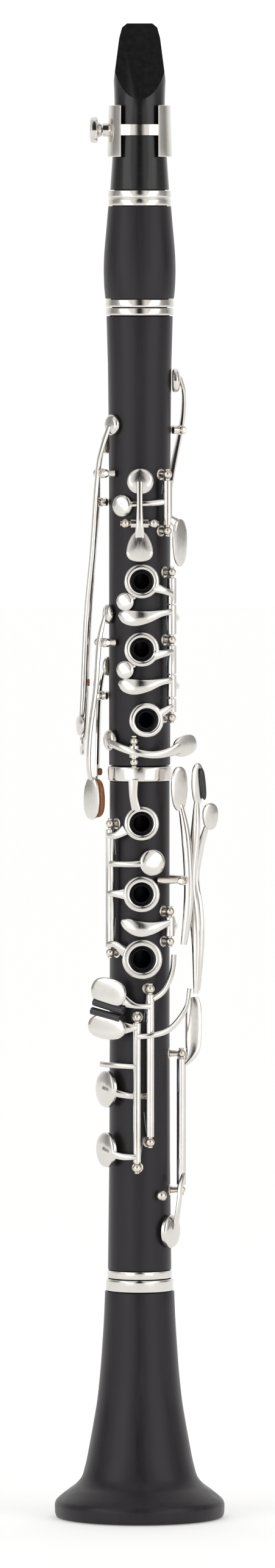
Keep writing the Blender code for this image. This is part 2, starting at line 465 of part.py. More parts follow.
def build_lower_keys():
    posts_along("lower_stack_rod", *LOWR, (309.6, 252.4))
    arms = []
    for x, z, ro, ri, za in ((0.8, 310, 7.7, 5.2, 304.6), (0.8, 278.6, 8.1, 5.2, 278.8), (1.1, 249.7, 8.9, 5.9, 256.2)):
        f = math.degrees(math.asin(x / 15.4))
        arms += [washer(facing(f, 15.4, z), ro, ri, 1.5), arm([(-21.5, 17.3, (z + za) / 2, 2.4, 0.7), (-36, 18.1, za, 1.5, 0.8), (-49, 18.2, za, 1.5, 1.0)])]
    key_along("lower_ring_key", *LOWR, 254.8, 307.2, *arms, cup_at(19, 15.6, 292.7, 5.9, 3.4),
              arm([(8, 18.2, 292.4, 1.5, 0.7), (-15, 17.8, 292, 1.3, 0.8), (-49, 17.9, 292, 1.4, 1.0)]),
              arm([(-5, 16.4, 315.9, 2.0, 0.7), (-9, 17.4, 322, 1.8, 0.8), (-9, 17.9, 329.5, 2.2, 0.9)]))
    posts_along("lower_crescent_posts", 52, 17.0, (270.7, 257.3))
    key_along("lower_crescent_key", 52, 17.0, 259.7, 268.3,
              arm([(-29, 16.2, 266.6, 1.0, 0.6), (-20, 16.4, 265.3, 2.6, 0.9), (0, 16.6, 263.2, 3.4, 1.0), (20, 16.9, 263.6, 2.6, 1.0), (40, 17.4, 265.2, 1.6, 0.9), (51, 17.8, 266, 1.5, 1.0)]),
              arm([(55, 17.6, 264, 1.4, 1.0), (72, 17.0, 264, 1.4, 0.8), (86, 15.9, 264, 1.6, 0.6)]), cup_at(90, 13.65, 264, 4.4, 2.6))
    # right-hand little finger keys: two front rods, two paddles, two big cups at the left
    posts_along("low_f_posts", *F_ROD, (236.6, 168.4))
    key_along("low_f_key", *F_ROD, 170.8, 234.2, cup_at(-60, 15.6, 191.5, 8.2, 3.6),
              arm([(13, 16.2, 188.8, 1.3, 0.7), (5, 14.65, 188.8, 1.3, 0.4), (-12, 14.6, 188.8, 1.3, 0.4), (-24, 16.2, 189.2, 1.4, 0.6), (-40, 18.6, 190.5, 1.6, 0.8), (-58, 19.0, 191.5, 1.8, 0.8)]),
              arm([(15, 18.6, 228.9, 1.3, 0.9), (-4, 19.6, 229.2, 1.2, 0.8), (-18, 20.0, 231, 2.4, 0.8), (-28, 20.4, 233, 4.0, 0.7)]),
              arm([(19, 18.4, 232.2, 1.2, 0.8), (36, 18.6, 236, 1.3, 0.8), (50, 18.8, 244, 1.4, 0.8), (54, 18.8, 251.5, 1.5, 0.8)]),
              touch(-40, 20.8, 235.2, 9.0, 6.4, 1.4, face=-30, c=0.0, tilt=-10), tube=1.8)
    posts_along("low_e_posts", *E_ROD, (224.0, 157.0))
    key_along("low_e_key", *E_ROD, 159.4, 221.6, cup_at(-60, 15.6, 164.5, 7.8, 3.6),
              arm([(-5, 18.5, 162, 1.3, 0.9), (-22, 18.6, 162, 1.4, 0.8), (-40, 18.8, 163, 1.6, 0.8), (-58, 19.0, 164.5, 1.8, 0.8)]),
              arm([(-5, 18.4, 202.2, 1.2, 0.8), (-30, 18.2, 202.4, 1.2, 0.8), (-68, 18.4, 202.6, 1.3, 0.8)]),
              arm([(-5, 18.6, 219.6, 1.3, 0.9), (-16, 20.0, 219.4, 2.2, 0.8), (-26, 20.6, 219.4, 3.6, 0.7)]),
              arm([(-2, 18.7, 215.6, 1.2, 0.8), (15, 20.6, 216.2, 1.2, 0.7), (40, 21.2, 219, 1.3, 0.8), (64, 23.0, 228, 1.4, 0.8), (72, 23.2, 236, 1.5, 0.8)]),
              touch(-42, 21.2, 219.6, 9.6, 5.4, 1.4, face=-30, c=0.0, tilt=-6), tube=1.8)
    # A flat key: rod at the right edge, cup low at the right
    posts_along("a_flat_posts", *A_ROD, (207.0, 146.2), rb=1.9)
    key_along("a_flat_key", *A_ROD, 148.5, 204.7, cup_at(62, 14.05, 128, 7.4, 3.8),
              arm([(78, 19.9, 153, 1.4, 1.0), (66, 20.0, 149, 1.5, 0.9), (62.5, 19.6, 140, 1.6, 0.9), (62, 17.8, 129, 2.0, 0.8)]),
              arm([(81, 20.4, 202, 1.6, 1.0), (83, 23.0, 206.5, 1.4, 2.6), (84, 23.9, 212, 1.3, 3.6), (84, 24.0, 227, 1.3, 3.6), (84, 23.4, 232, 1.2, 2.4)]))
    # left-hand little finger levers on one rod across the right side
    posts_across("left_lever_posts", LEV, LEV_R, LEV_Z, (-9.6, 9.6), rb=1.8)
    for k, (off, rows, pad) in enumerate((
            (-5.2, [(20.3, 318, 1.8, 1.1), (22.6, 304, 1.8, 2.0), (23.9, LEV_Z, 1.8, 2.1), (23.4, 270, 1.8, 2.0), (21.6, 256, 1.7, 1.3)], (19.4, 325.2, 4.4, 10.0)),
            (0, [(26.2, 320, 1.8, 1.1), (25.6, 306, 1.8, 2.1), (23.9, LEV_Z, 1.8, 2.1), (25.2, 268, 1.8, 2.3), (26.0, 255, 1.8, 2.0), (25.9, 234, 1.7, 1.1)], (26.2, 327.2, 3.2, 9.4)),
            (5.2, [(29.4, 308.5, 1.8, 1.0), (26.0, 297, 1.8, 1.8), (23.9, LEV_Z, 1.8, 2.1), (25.6, 271, 1.8, 2.3), (26.2, 256, 1.8, 2.1), (25.2, 235, 1.7, 1.2)], (30.4, 312.5, 4.2, 6.0)))):
        m = facing(38, 0, 0)
        m.translation = out(LEV) * pad[0] + side(LEV) * off * 1.15 + Z * pad[1]
        key_across(f"left_lever_{k + 1}", LEV, LEV_R, LEV_Z, 2.2, lever_bar(LEV, off, rows), plate(egg(pad[2], pad[3], 0.1, 12, 0.85), m, 1.3), off=off)
    # thumb rest: saddle plate and hook
    rest = plate([(-5, -11), (5, -11), (5.5, 11), (-5.5, 11)], facing(180, wood_r(262) + 0.4, 262), 1.4)
    hook = plate([(-5, 0), (5, 0), (5.6, 12), (3.0, 15), (-3.0, 15), (-5.6, 12)], place(P(180, wood_r(262) + 1.2, 259), side(180), out(180)), -2.2)
    node("thumb_rest", join(rest, hook), "silver")


build_body()
build_upper_keys()
build_lower_keys()
for leftover in list(SCRAP.objects):
    bpy.data.objects.remove(leftover)
bpy.data.collections.remove(SCRAP)
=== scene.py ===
"""The looks of the clarinet: every CAD node is stood for by a finely turned, lofted or rounded piece, plus the
small parts that the CAD leaves out (pads, screw slots, springs, rollers and cork)."""
import json
import math

import bmesh
import bpy
from mathutils import Matrix, Vector

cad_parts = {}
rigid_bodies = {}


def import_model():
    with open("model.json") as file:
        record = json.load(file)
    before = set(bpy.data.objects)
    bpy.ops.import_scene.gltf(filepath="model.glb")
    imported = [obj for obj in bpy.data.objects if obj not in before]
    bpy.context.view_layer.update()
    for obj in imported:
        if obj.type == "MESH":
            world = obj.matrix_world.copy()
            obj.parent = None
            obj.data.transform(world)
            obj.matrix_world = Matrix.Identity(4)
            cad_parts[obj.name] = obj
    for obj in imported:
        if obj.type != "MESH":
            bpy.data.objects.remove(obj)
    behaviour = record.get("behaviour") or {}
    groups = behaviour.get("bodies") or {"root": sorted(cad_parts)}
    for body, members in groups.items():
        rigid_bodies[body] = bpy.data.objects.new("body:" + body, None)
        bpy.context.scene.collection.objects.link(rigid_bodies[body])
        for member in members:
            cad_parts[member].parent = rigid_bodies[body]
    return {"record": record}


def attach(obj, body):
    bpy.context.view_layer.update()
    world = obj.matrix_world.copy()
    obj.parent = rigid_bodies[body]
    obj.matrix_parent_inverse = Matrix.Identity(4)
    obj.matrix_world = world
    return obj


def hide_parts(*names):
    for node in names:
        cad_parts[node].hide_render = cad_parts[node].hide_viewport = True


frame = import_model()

bpy.context.view_layer.update()
BODY_OF = {n: b for b, ns in frame["record"]["behaviour"]["bodies"].items() for n in ns}
SLOT_OF = {s["node"]: s.get("material_slot") for s in frame["record"]["subparts"]}
MM = 0.001
Z = Vector((0, 0, 1))
SCRAP = bpy.data.collections.new("construction")
bpy.context.scene.collection.children.link(SCRAP)


# ---------------------------------------------------------------- materials
def new_mat(name, base, rough, metal=0.0, coat=0.0, coat_rough=0.1, spec=0.5):
    m = bpy.data.materials.new(name)
    m.use_nodes = True
    b = m.node_tree.nodes["Principled BSDF"]
    b.inputs["Base Color"].default_value = (*base, 1)
    b.inputs["Roughness"].default_value = rough
    b.inputs["Metallic"].default_value = metal
    b.inputs["Coat Weight"].default_value = coat
    b.inputs["Coat Roughness"].default_value = coat_rough
    b.inputs["Specular IOR Level"].default_value = spec
    return m, m.node_tree, b


def link(t, a, ao, b, bi):
    t.links.new(a.outputs[ao], b.inputs[bi])


def noise(t, scale, stretch=(1, 1, 1), detail=4, rough=0.5):
    tc = t.nodes.new("ShaderNodeTexCoord")
    mp = t.nodes.new("ShaderNodeMapping")
    mp.inputs["Scale"].default_value = stretch
    nz = t.nodes.new("ShaderNodeTexNoise")
    nz.inputs["Scale"].default_value = scale
    nz.inputs["Detail"].default_value = detail
    nz.inputs["Roughness"].default_value = rough
    link(t, tc, "Object", mp, "Vector")
    link(t, mp, "Vector", nz, "Vector")
    return nz


def ramp(t, src, out_name, stops):
    r = t.nodes.new("ShaderNodeValToRGB")
    e = r.color_ramp.elements
    while len(e) < len(stops):
        e.new(0.5)
    for k, (pos, col) in enumerate(stops):
        e[k].position = pos
        e[k].color = (*col, 1)
    link(t, src, out_name, r, "Fac")
    return r


def to_range(t, src, out_name, lo, hi, a=0.3, b=0.7):
    r = t.nodes.new("ShaderNodeMapRange")
    r.inputs["From Min"].default_value, r.inputs["From Max"].default_value = a, b
    r.inputs["To Min"].default_value, r.inputs["To Max"].default_value = lo, hi
    link(t, src, out_name, r, "Value")
    return r


def bump(t, b, src, out_name, strength, dist):
    n = t.nodes.new("ShaderNodeBump")
    n.inputs["Strength"].default_value = strength
    n.inputs["Distance"].default_value = dist
    link(t, src, out_name, n, "Height")
    link(t, n, "Normal", b, "Normal")


def make_wood():
    m, t, b = new_mat("black_wood", (0.017, 0.0145, 0.0175), 0.36, coat=0.04, coat_rough=0.22, spec=0.33)
    g = noise(t, 260, (1, 1, 0.045), 8, 0.62)
    c = ramp(t, g, "Fac", [(0.25, (0.0092, 0.0068, 0.0092)), (0.55, (0.0148, 0.0112, 0.0148)), (0.8, (0.0255, 0.0188, 0.0225))])
    link(t, c, "Color", b, "Base Color")
    r = to_range(t, g, "Fac", 0.30, 0.46)
    link(t, r, "Result", b, "Roughness")
    p = noise(t, 900, (1, 1, 0.06), 3, 0.7)
    bump(t, b, p, "Fac", 0.22, 0.00006)
    return m


def make_ebonite():
    m, t, b = new_mat("mouthpiece_resin", (0.009, 0.0085, 0.009), 0.18, coat=0.15, coat_rough=0.08, spec=0.4)
    n = noise(t, 420, (1, 1, 1), 5, 0.6)
    link(t, to_range(t, n, "Fac", 0.13, 0.24), "Result", b, "Roughness")
    bump(t, b, n, "Fac", 0.05, 0.00002)
    return m


def make_silver(name, warm, rough=(0.10, 0.22)):
    m, t, b = new_mat(name, (0.9, 0.89, 0.87), 0.15, 1.0)
    n = noise(t, 75, (1, 1, 1), 5, 0.6)
    w = tuple(0.71 * (1 - warm) + k * warm for k in (0.62, 0.46, 0.30))
    hi, mid = (tuple(a * (1 - 0.3 * warm) + k * 0.3 * warm for a, k in zip(c0, (0.70, 0.55, 0.38))) for c0 in ((0.76, 0.745, 0.725), (0.70, 0.68, 0.655)))
    c = ramp(t, n, "Fac", [(0.35, hi), (0.62, mid), (0.80, w)])
    link(t, c, "Color", b, "Base Color")
    f = noise(t, 1500, (1, 1, 0.25), 4, 0.65)
    link(t, to_range(t, f, "Fac", *rough), "Result", b, "Roughness")
    bump(t, b, f, "Fac", 0.03, 0.00002)
    return m


def make_cork():
    m, t, b = new_mat("tenon_cork", (0.5, 0.3, 0.16), 0.85)
    n = noise(t, 900, (1, 1, 1), 6, 0.7)
    link(t, ramp(t, n, "Fac", [(0.3, (0.13, 0.045, 0.018)), (0.5, (0.28, 0.105, 0.042)), (0.75, (0.42, 0.20, 0.095))]), "Color", b, "Base Color")
    bump(t, b, n, "Fac", 0.5, 0.00015)
    return m


def make_cane():
    m, t, b = new_mat("cane", (0.74, 0.6, 0.34), 0.55)
    n = noise(t, 700, (1, 1, 0.03), 6, 0.6)
    link(t, ramp(t, n, "Fac", [(0.3, (0.62, 0.46, 0.22)), (0.55, (0.78, 0.63, 0.36)), (0.8, (0.86, 0.74, 0.48))]), "Color", b, "Base Color")
    bump(t, b, n, "Fac", 0.25, 0.00006)
    return m


def make_pad():
    m, t, b = new_mat("pad_skin", (0.78, 0.70, 0.58), 0.5)
    n = noise(t, 800, (1, 1, 1), 5, 0.6)
    link(t, ramp(t, n, "Fac", [(0.3, (0.60, 0.50, 0.38)), (0.7, (0.82, 0.75, 0.64))]), "Color", b, "Base Color")
    bump(t, b, n, "Fac", 0.3, 0.0001)
    return m


def make_black():
    m, t, b = new_mat("black_roller", (0.012, 0.012, 0.014), 0.3, coat=0.3)
    n = noise(t, 600, (1, 1, 1), 3, 0.5)
    link(t, to_range(t, n, "Fac", 0.24, 0.40), "Result", b, "Roughness")
    return m


# painted shade: near-black matte colour for the sleeves on the finger-hole chimneys, standing in for the shadow inside
# each hole
def make_hole_painted_shade():
    m, t, b = new_mat("hole_painted_shade", (0.004, 0.004, 0.0045), 0.6, spec=0.12)
    n = noise(t, 700, (1, 1, 1), 3, 0.5)
    link(t, to_range(t, n, "Fac", 0.5, 0.7), "Result", b, "Roughness")
    return m


def make_steel():
    m, t, b = new_mat("blued_steel", (0.22, 0.23, 0.27), 0.25, 1.0)
    n = noise(t, 900, (1, 1, 0.1), 3, 0.5)
    link(t, to_range(t, n, "Fac", 0.18, 0.36), "Result", b, "Roughness")
    return m


MATS = {"wood": make_wood(), "ebonite": make_ebonite(), "silver": make_silver("silver_keys", 0.25), "silver_posts": make_silver("silver_posts", 0.85, (0.14, 0.28)),
        "silver_rings": make_silver("silver_rings", 0.3, (0.07, 0.16)), "cork": make_cork(), "cane": make_cane(), "pad": make_pad(), "black": make_black(), "hole_painted_shade": make_hole_painted_shade(), "steel": make_steel()}


# --- driving dimensions (mm) ---
Z_TIP, Z_MP_BASE = 664.3, 590.5         # mouthpiece tip and shoulder
Z_BARREL_LOW = 538.4                     # barrel's lower face
Z_UPPER_TOP, Z_UPPER_LOW = 538.1, 335.2  # upper joint
Z_LOWER_TOP, Z_LOWER_LOW = 334.9, 106.8  # lower joint
Z_BELL_TOP = 106.5
R_BORE = 7.4
ROD_R, BORE_R, TUBE_R = 1.0, 1.35, 2.1   # pivot rod, key bore, key tube
GAP = 0.3
# finger holes: (x, z, radius)
UP_HOLES = [(0.9, 417.4, 3.6), (0.9, 387.2, 3.6), (2.9, 355.9, 3.6)]
LO_HOLES = [(0.8, 310, 3.8), (0.8, 278.6, 3.8), (1.1, 249.7, 4.2)]

def P(phi, r, z):
    """Point at an angle from the front (degrees, towards +X), a radius and a height."""
    a = math.radians(phi)
    return Vector((r * math.sin(a), -r * math.cos(a), z))


def out(phi):
    return P(phi, 1, 0)


def side(phi):
    a = math.radians(phi)
    return Vector((math.cos(a), math.sin(a), 0))


def place(origin, x, y):
    """Matrix that puts local X and Y along x and y, and local Z along x cross y."""
    x, y = x.normalized(), y.normalized()
    z = x.cross(y)
    m = Matrix((x, y, z)).transposed().to_4x4()
    m.translation = origin
    return m


def facing(phi, r, z):
    """Local X to the side, local Y up the bore, local Z outward, at a point on the body."""
    s, o = side(phi), out(phi)
    m = Matrix((s, Z, o)).transposed().to_4x4()
    m.translation = P(phi, r, z)
    return m


def scrap(bm, name="s"):
    bmesh.ops.recalc_face_normals(bm, faces=bm.faces)
    me = bpy.data.meshes.new(name)
    bm.to_mesh(me)
    bm.free()
    o = bpy.data.objects.new(name, me)
    SCRAP.objects.link(o)
    return o


def box(lo, hi, m=None):
    bm = bmesh.new()
    bmesh.ops.create_cube(bm, size=1)
    lo, hi = Vector(lo), Vector(hi)
    s = hi - lo
    t = Matrix.Translation((lo + hi) / 2) @ Matrix.Diagonal((s.x, s.y, s.z, 1))
    bmesh.ops.transform(bm, matrix=(m or Matrix()) @ t, verts=bm.verts)
    return scrap(bm)


def spline(points, sub):
    """Catmull-Rom through rows of numbers, so an arm bends smoothly."""
    if sub < 2 or len(points) < 3:
        return points
    rows = []
    for i in range(len(points) - 1):
        a, b, c, d = points[max(i - 1, 0)], points[i], points[i + 1], points[min(i + 2, len(points) - 1)]
        for k in range(sub):
            t = k / sub
            rows.append([0.5 * (2 * q + (r - p) * t + (2 * p - 5 * q + 4 * r - s) * t * t + (3 * q - p - 3 * r + s) * t ** 3)
                         for p, q, r, s in zip(a, b, c, d)])
    rows.append(points[-1])
    return rows


def loft_arm(path, n=4, sub=None, power=0.7, outward=None):
    """A lofted bar with unlike oval sections. path rows: (phi, r, z, half width, half thickness)."""
    rows = spline([list(map(float, p)) for p in path], sub or FINE)
    pts = [P(p[0], p[1], p[2]) for p in rows]
    bm = bmesh.new()
    rings = []
    for i, p in enumerate(rows):
        t = (pts[min(i + 1, len(pts) - 1)] - pts[max(i - 1, 0)]).normalized()
        o = outward or out(p[0])
        s = t.cross(o).normalized()
        u = s.cross(t).normalized()
        ring = []
        for k in range(n):
            a = 2 * math.pi * (k + 0.5) / n
            ca, sa = math.cos(a), math.sin(a)
            ring.append(bm.verts.new(pts[i] + s * p[3] * math.copysign(abs(ca) ** power, ca) + u * p[4] * math.copysign(abs(sa) ** power, sa)))
        rings.append(ring)
    for r0, r1 in zip(rings, rings[1:]):
        for k in range(n):
            bm.faces.new((r0[k], r0[(k + 1) % n], r1[(k + 1) % n], r1[k]))
    bm.faces.new(rings[0][::-1])
    bm.faces.new(rings[-1])
    return scrap(bm)


def egg(a, b, c=0.0, n=12, power=1.0):
    """Outline of half width a, half height b; c above 0 widens its upper end."""
    pts = []
    for i in range(n):
        t = 2 * math.pi * i / n
        ca, sa = math.cos(t), math.sin(t)
        pts.append((a * (1 + c * sa) * math.copysign(abs(ca) ** power, ca), b * math.copysign(abs(sa) ** power, sa)))
    return pts


def boolean(a, b, how):
    md = a.modifiers.new("b", "BOOLEAN")
    md.operation, md.object, md.solver = how, b, "EXACT"
    dg = bpy.context.evaluated_depsgraph_get()
    me = bpy.data.meshes.new_from_object(a.evaluated_get(dg))
    a.modifiers.clear()
    old = a.data
    a.data = me
    bpy.data.meshes.remove(old)
    bpy.data.objects.remove(b)
    return a


def join(*shapes):
    a = shapes[0]
    for b in shapes[1:]:
        a = boolean(a, b, "UNION")
    return a


def cut(a, *tools):
    for b in tools:
        a = boolean(a, b, "DIFFERENCE")
    return a




# ---------------------------------------------------------------- shapes, finer than the CAD's
N_BODY, N_TUBE, N_CUP, FINE = 96, 20, 40, 5
PADS = []


def round_profile(pts, closed, rad=0.35, k=4):
    """Rounds a turned profile: gentle bends become smooth curves, sharp corners small radii."""
    n, res = len(pts), []
    for i, b in enumerate(pts):
        if not closed and i in (0, n - 1):
            res.append(b)
            continue
        a, c = pts[i - 1], pts[(i + 1) % n]
        u, v = (a[0] - b[0], a[1] - b[1]), (c[0] - b[0], c[1] - b[1])
        lu, lv = math.hypot(*u), math.hypot(*v)
        if lu < 1e-6 or lv < 1e-6 or (b[0] < 1e-6):
            res.append(b)
            continue
        cosang = -(u[0] * v[0] + u[1] * v[1]) / lu / lv
        turn_by = math.degrees(math.acos(max(-1, min(1, cosang))))
        cutlen = 0.46 * min(lu, lv) if turn_by < 38 else min(rad, 0.42 * min(lu, lv))
        if turn_by < 1:
            res.append(b)
            continue
        p0 = (b[0] + u[0] / lu * cutlen, b[1] + u[1] / lu * cutlen)
        p1 = (b[0] + v[0] / lv * cutlen, b[1] + v[1] / lv * cutlen)
        for j in range(k + 1):
            s = j / k
            res.append(tuple((1 - s) ** 2 * x0 + 2 * s * (1 - s) * xb + s * s * x1 for x0, xb, x1 in zip(p0, b, p1)))
    return res


def cyl(p0, p1, r0, r1=None, n=None):
    """A round bar with slightly rounded ends."""
    r1 = r0 if r1 is None else r1
    d = p1 - p0
    e = min(0.18, 0.25 * min(r0, r1), 0.2 * d.length)
    m = Matrix.Translation(p0) @ d.to_track_quat("Z", "Y").to_matrix().to_4x4()
    return turn([(0, 0), (r0 - e, 0), (r0, e), (r1, d.length - e), (r1 - e, d.length), (0, d.length)], N_TUBE if n is None or n < 14 else 28, False, m, smooth=False)


def ball(c, r, n=8):
    bm = bmesh.new()
    bmesh.ops.create_uvsphere(bm, u_segments=20, v_segments=12, radius=r)
    bmesh.ops.transform(bm, matrix=Matrix.Translation(c) @ Matrix.Rotation(math.radians(7), 4, "Z"), verts=bm.verts)
    return scrap(bm)


def turn(profile, n=None, closed=True, m=None, smooth=True):
    if smooth:
        profile = round_profile(profile, closed)
    n = N_CUP if (n is not None and n < 17) else (n if n and n >= 40 else (N_BODY if n is None else N_BODY))
    if not smooth:
        n = N_TUBE
    bm = bmesh.new()
    vs = [bm.verts.new((r, 0, h)) for r, h in profile]
    es = [bm.edges.new((vs[i], vs[i + 1])) for i in range(len(vs) - 1)]
    if closed:
        es.append(bm.edges.new((vs[-1], vs[0])))
    bmesh.ops.spin(bm, geom=vs + es, cent=(0, 0, 0), axis=(0, 0, 1), angle=2 * math.pi, steps=n, use_duplicate=False)
    bmesh.ops.remove_doubles(bm, verts=bm.verts, dist=1e-4)
    bmesh.ops.transform(bm, matrix=m or Matrix(), verts=bm.verts)
    return scrap(bm)


def plate(outline, m, t, crown=0.35):
    """A finger plate: rounded edge all round and a softly crowned top."""
    if len(outline) < 10:
        return flat_plate(outline, m, t)
    pts = []
    n = len(outline)
    for i in range(n):
        a, b, c, d = (outline[(i + k) % n] for k in (-1, 0, 1, 2))
        for k in range(3):
            s = k / 3
            pts.append(tuple(0.5 * (2 * q + (r - p) * s + (2 * p - 5 * q + 4 * r - w) * s * s + (3 * q - p - 3 * r + w) * s ** 3) for p, q, r, w in zip(a, b, c, d)))
    bm = bmesh.new()
    rings = []
    for sc, z in ((0.90, 0.0), (0.965, 0.06 * t), (0.995, 0.3 * t), (1.0, 0.5 * t), (0.985, 0.78 * t), (0.94, 0.97 * t), (0.8, t + 0.35 * crown), (0.5, t + 0.8 * crown), (0.2, t + 0.98 * crown)):
        rings.append([bm.verts.new((x * sc, y * sc, z)) for x, y in pts])
    for r0, r1 in zip(rings, rings[1:]):
        for k in range(len(pts)):
            j = (k + 1) % len(pts)
            bm.faces.new((r0[k], r0[j], r1[j], r1[k]))
    bm.faces.new(rings[0][::-1])
    bm.faces.new(rings[-1])
    bmesh.ops.transform(bm, matrix=m, verts=bm.verts)
    return scrap(bm)


def flat_plate(outline, m, t):
    bm = bmesh.new()
    f = bm.faces.new([bm.verts.new((x, y, 0)) for x, y in outline])
    g = bmesh.ops.extrude_face_region(bm, geom=[f])
    vs = [v for v in g["geom"] if isinstance(v, bmesh.types.BMVert)]
    bmesh.ops.translate(bm, verts=vs, vec=(0, 0, t))
    bmesh.ops.bevel(bm, geom=list(bm.edges), offset=min(0.35, abs(t) * 0.25), segments=3, profile=0.5, affect="EDGES")
    bmesh.ops.transform(bm, matrix=m, verts=bm.verts)
    return scrap(bm)


def washer(m, ro, ri, h, n=None):
    """A finger ring: rounded crown, with a bevelled inner lip."""
    prof = [(ri, 0.1), (ri + 0.15, 0), (ro - 0.25, 0), (ro, 0.3), (ro, 0.75), (ro - 0.3, h - 0.3), (ro - 1.0, h), (ri + 0.7, h), (ri + 0.15, h - 0.35), (ri, h - 0.7)]
    return turn(prof, 16, True, m)


def cup(m, r, h, n=None):
    """A domed cup over its pad; the pad becomes a piece of its own."""
    PADS.append((m.copy(), r))
    prof = [(0, 0.95), (r - 0.5, 0.95), (r - 0.5, 0.5), (r - 0.12, 0.42), (r, 0.7), (r, h * 0.55), (r - 0.35, h * 0.70), (r * 0.80, h * 0.86), (r * 0.45, h * 0.975), (0, h)]
    return turn(prof, 16, False, m)


def arm(path, n=6, sub=None, power=0.8, outward=None):
    return loft_arm(path, 14, FINE, power, outward)


def node(name, shape, look, origin=(0, 0, 0)):
    """The visible piece that stands for a CAD node, with its pads beside it."""
    body = BODY_OF[name]
    mat = look
    if look == "silver" and SLOT_OF.get(name) in ("silver_posts", "silver_rings"):
        mat = SLOT_OF[name]
    o = finish_piece("v_" + name, shape, mat, body)
    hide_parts(name)
    for k, (m, r) in enumerate(PADS):
        pad = turn([(0, 0), (r - 1.5, 0.0), (r - 0.75, 0.10), (r - 0.55, 0.4), (r - 0.55, 0.93), (0, 0.93)], 16, False, m)
        finish_piece(f"pad_{name}_{k}", pad, "pad", body)
    PADS.clear()
    return o


def finish_piece(name, shape, look, body, angle=32):
    me = shape.data.copy()
    bm = bmesh.new()
    bm.from_mesh(me)
    bmesh.ops.remove_doubles(bm, verts=bm.verts, dist=1e-4)
    bmesh.ops.transform(bm, matrix=Matrix.Scale(MM, 4), verts=bm.verts)
    bm.to_mesh(me)
    bm.free()
    me.name = name
    me.shade_smooth()
    me.set_sharp_from_angle(angle=math.radians(angle))
    o = bpy.data.objects.new(name, me)
    bpy.context.scene.collection.objects.link(o)
    me.materials.clear()
    me.materials.append(MATS[look])
    bpy.data.objects.remove(shape)
    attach(o, body)
    return o


# ---------------------------------------------------------------- body
def tube_profile(outer, bore_top, bore_low):
    """Closed turned profile: outer (radius, z) rows from the top down, then the bore back up."""
    return outer + [(bore_low, outer[-1][1]), (bore_top, outer[0][1])]


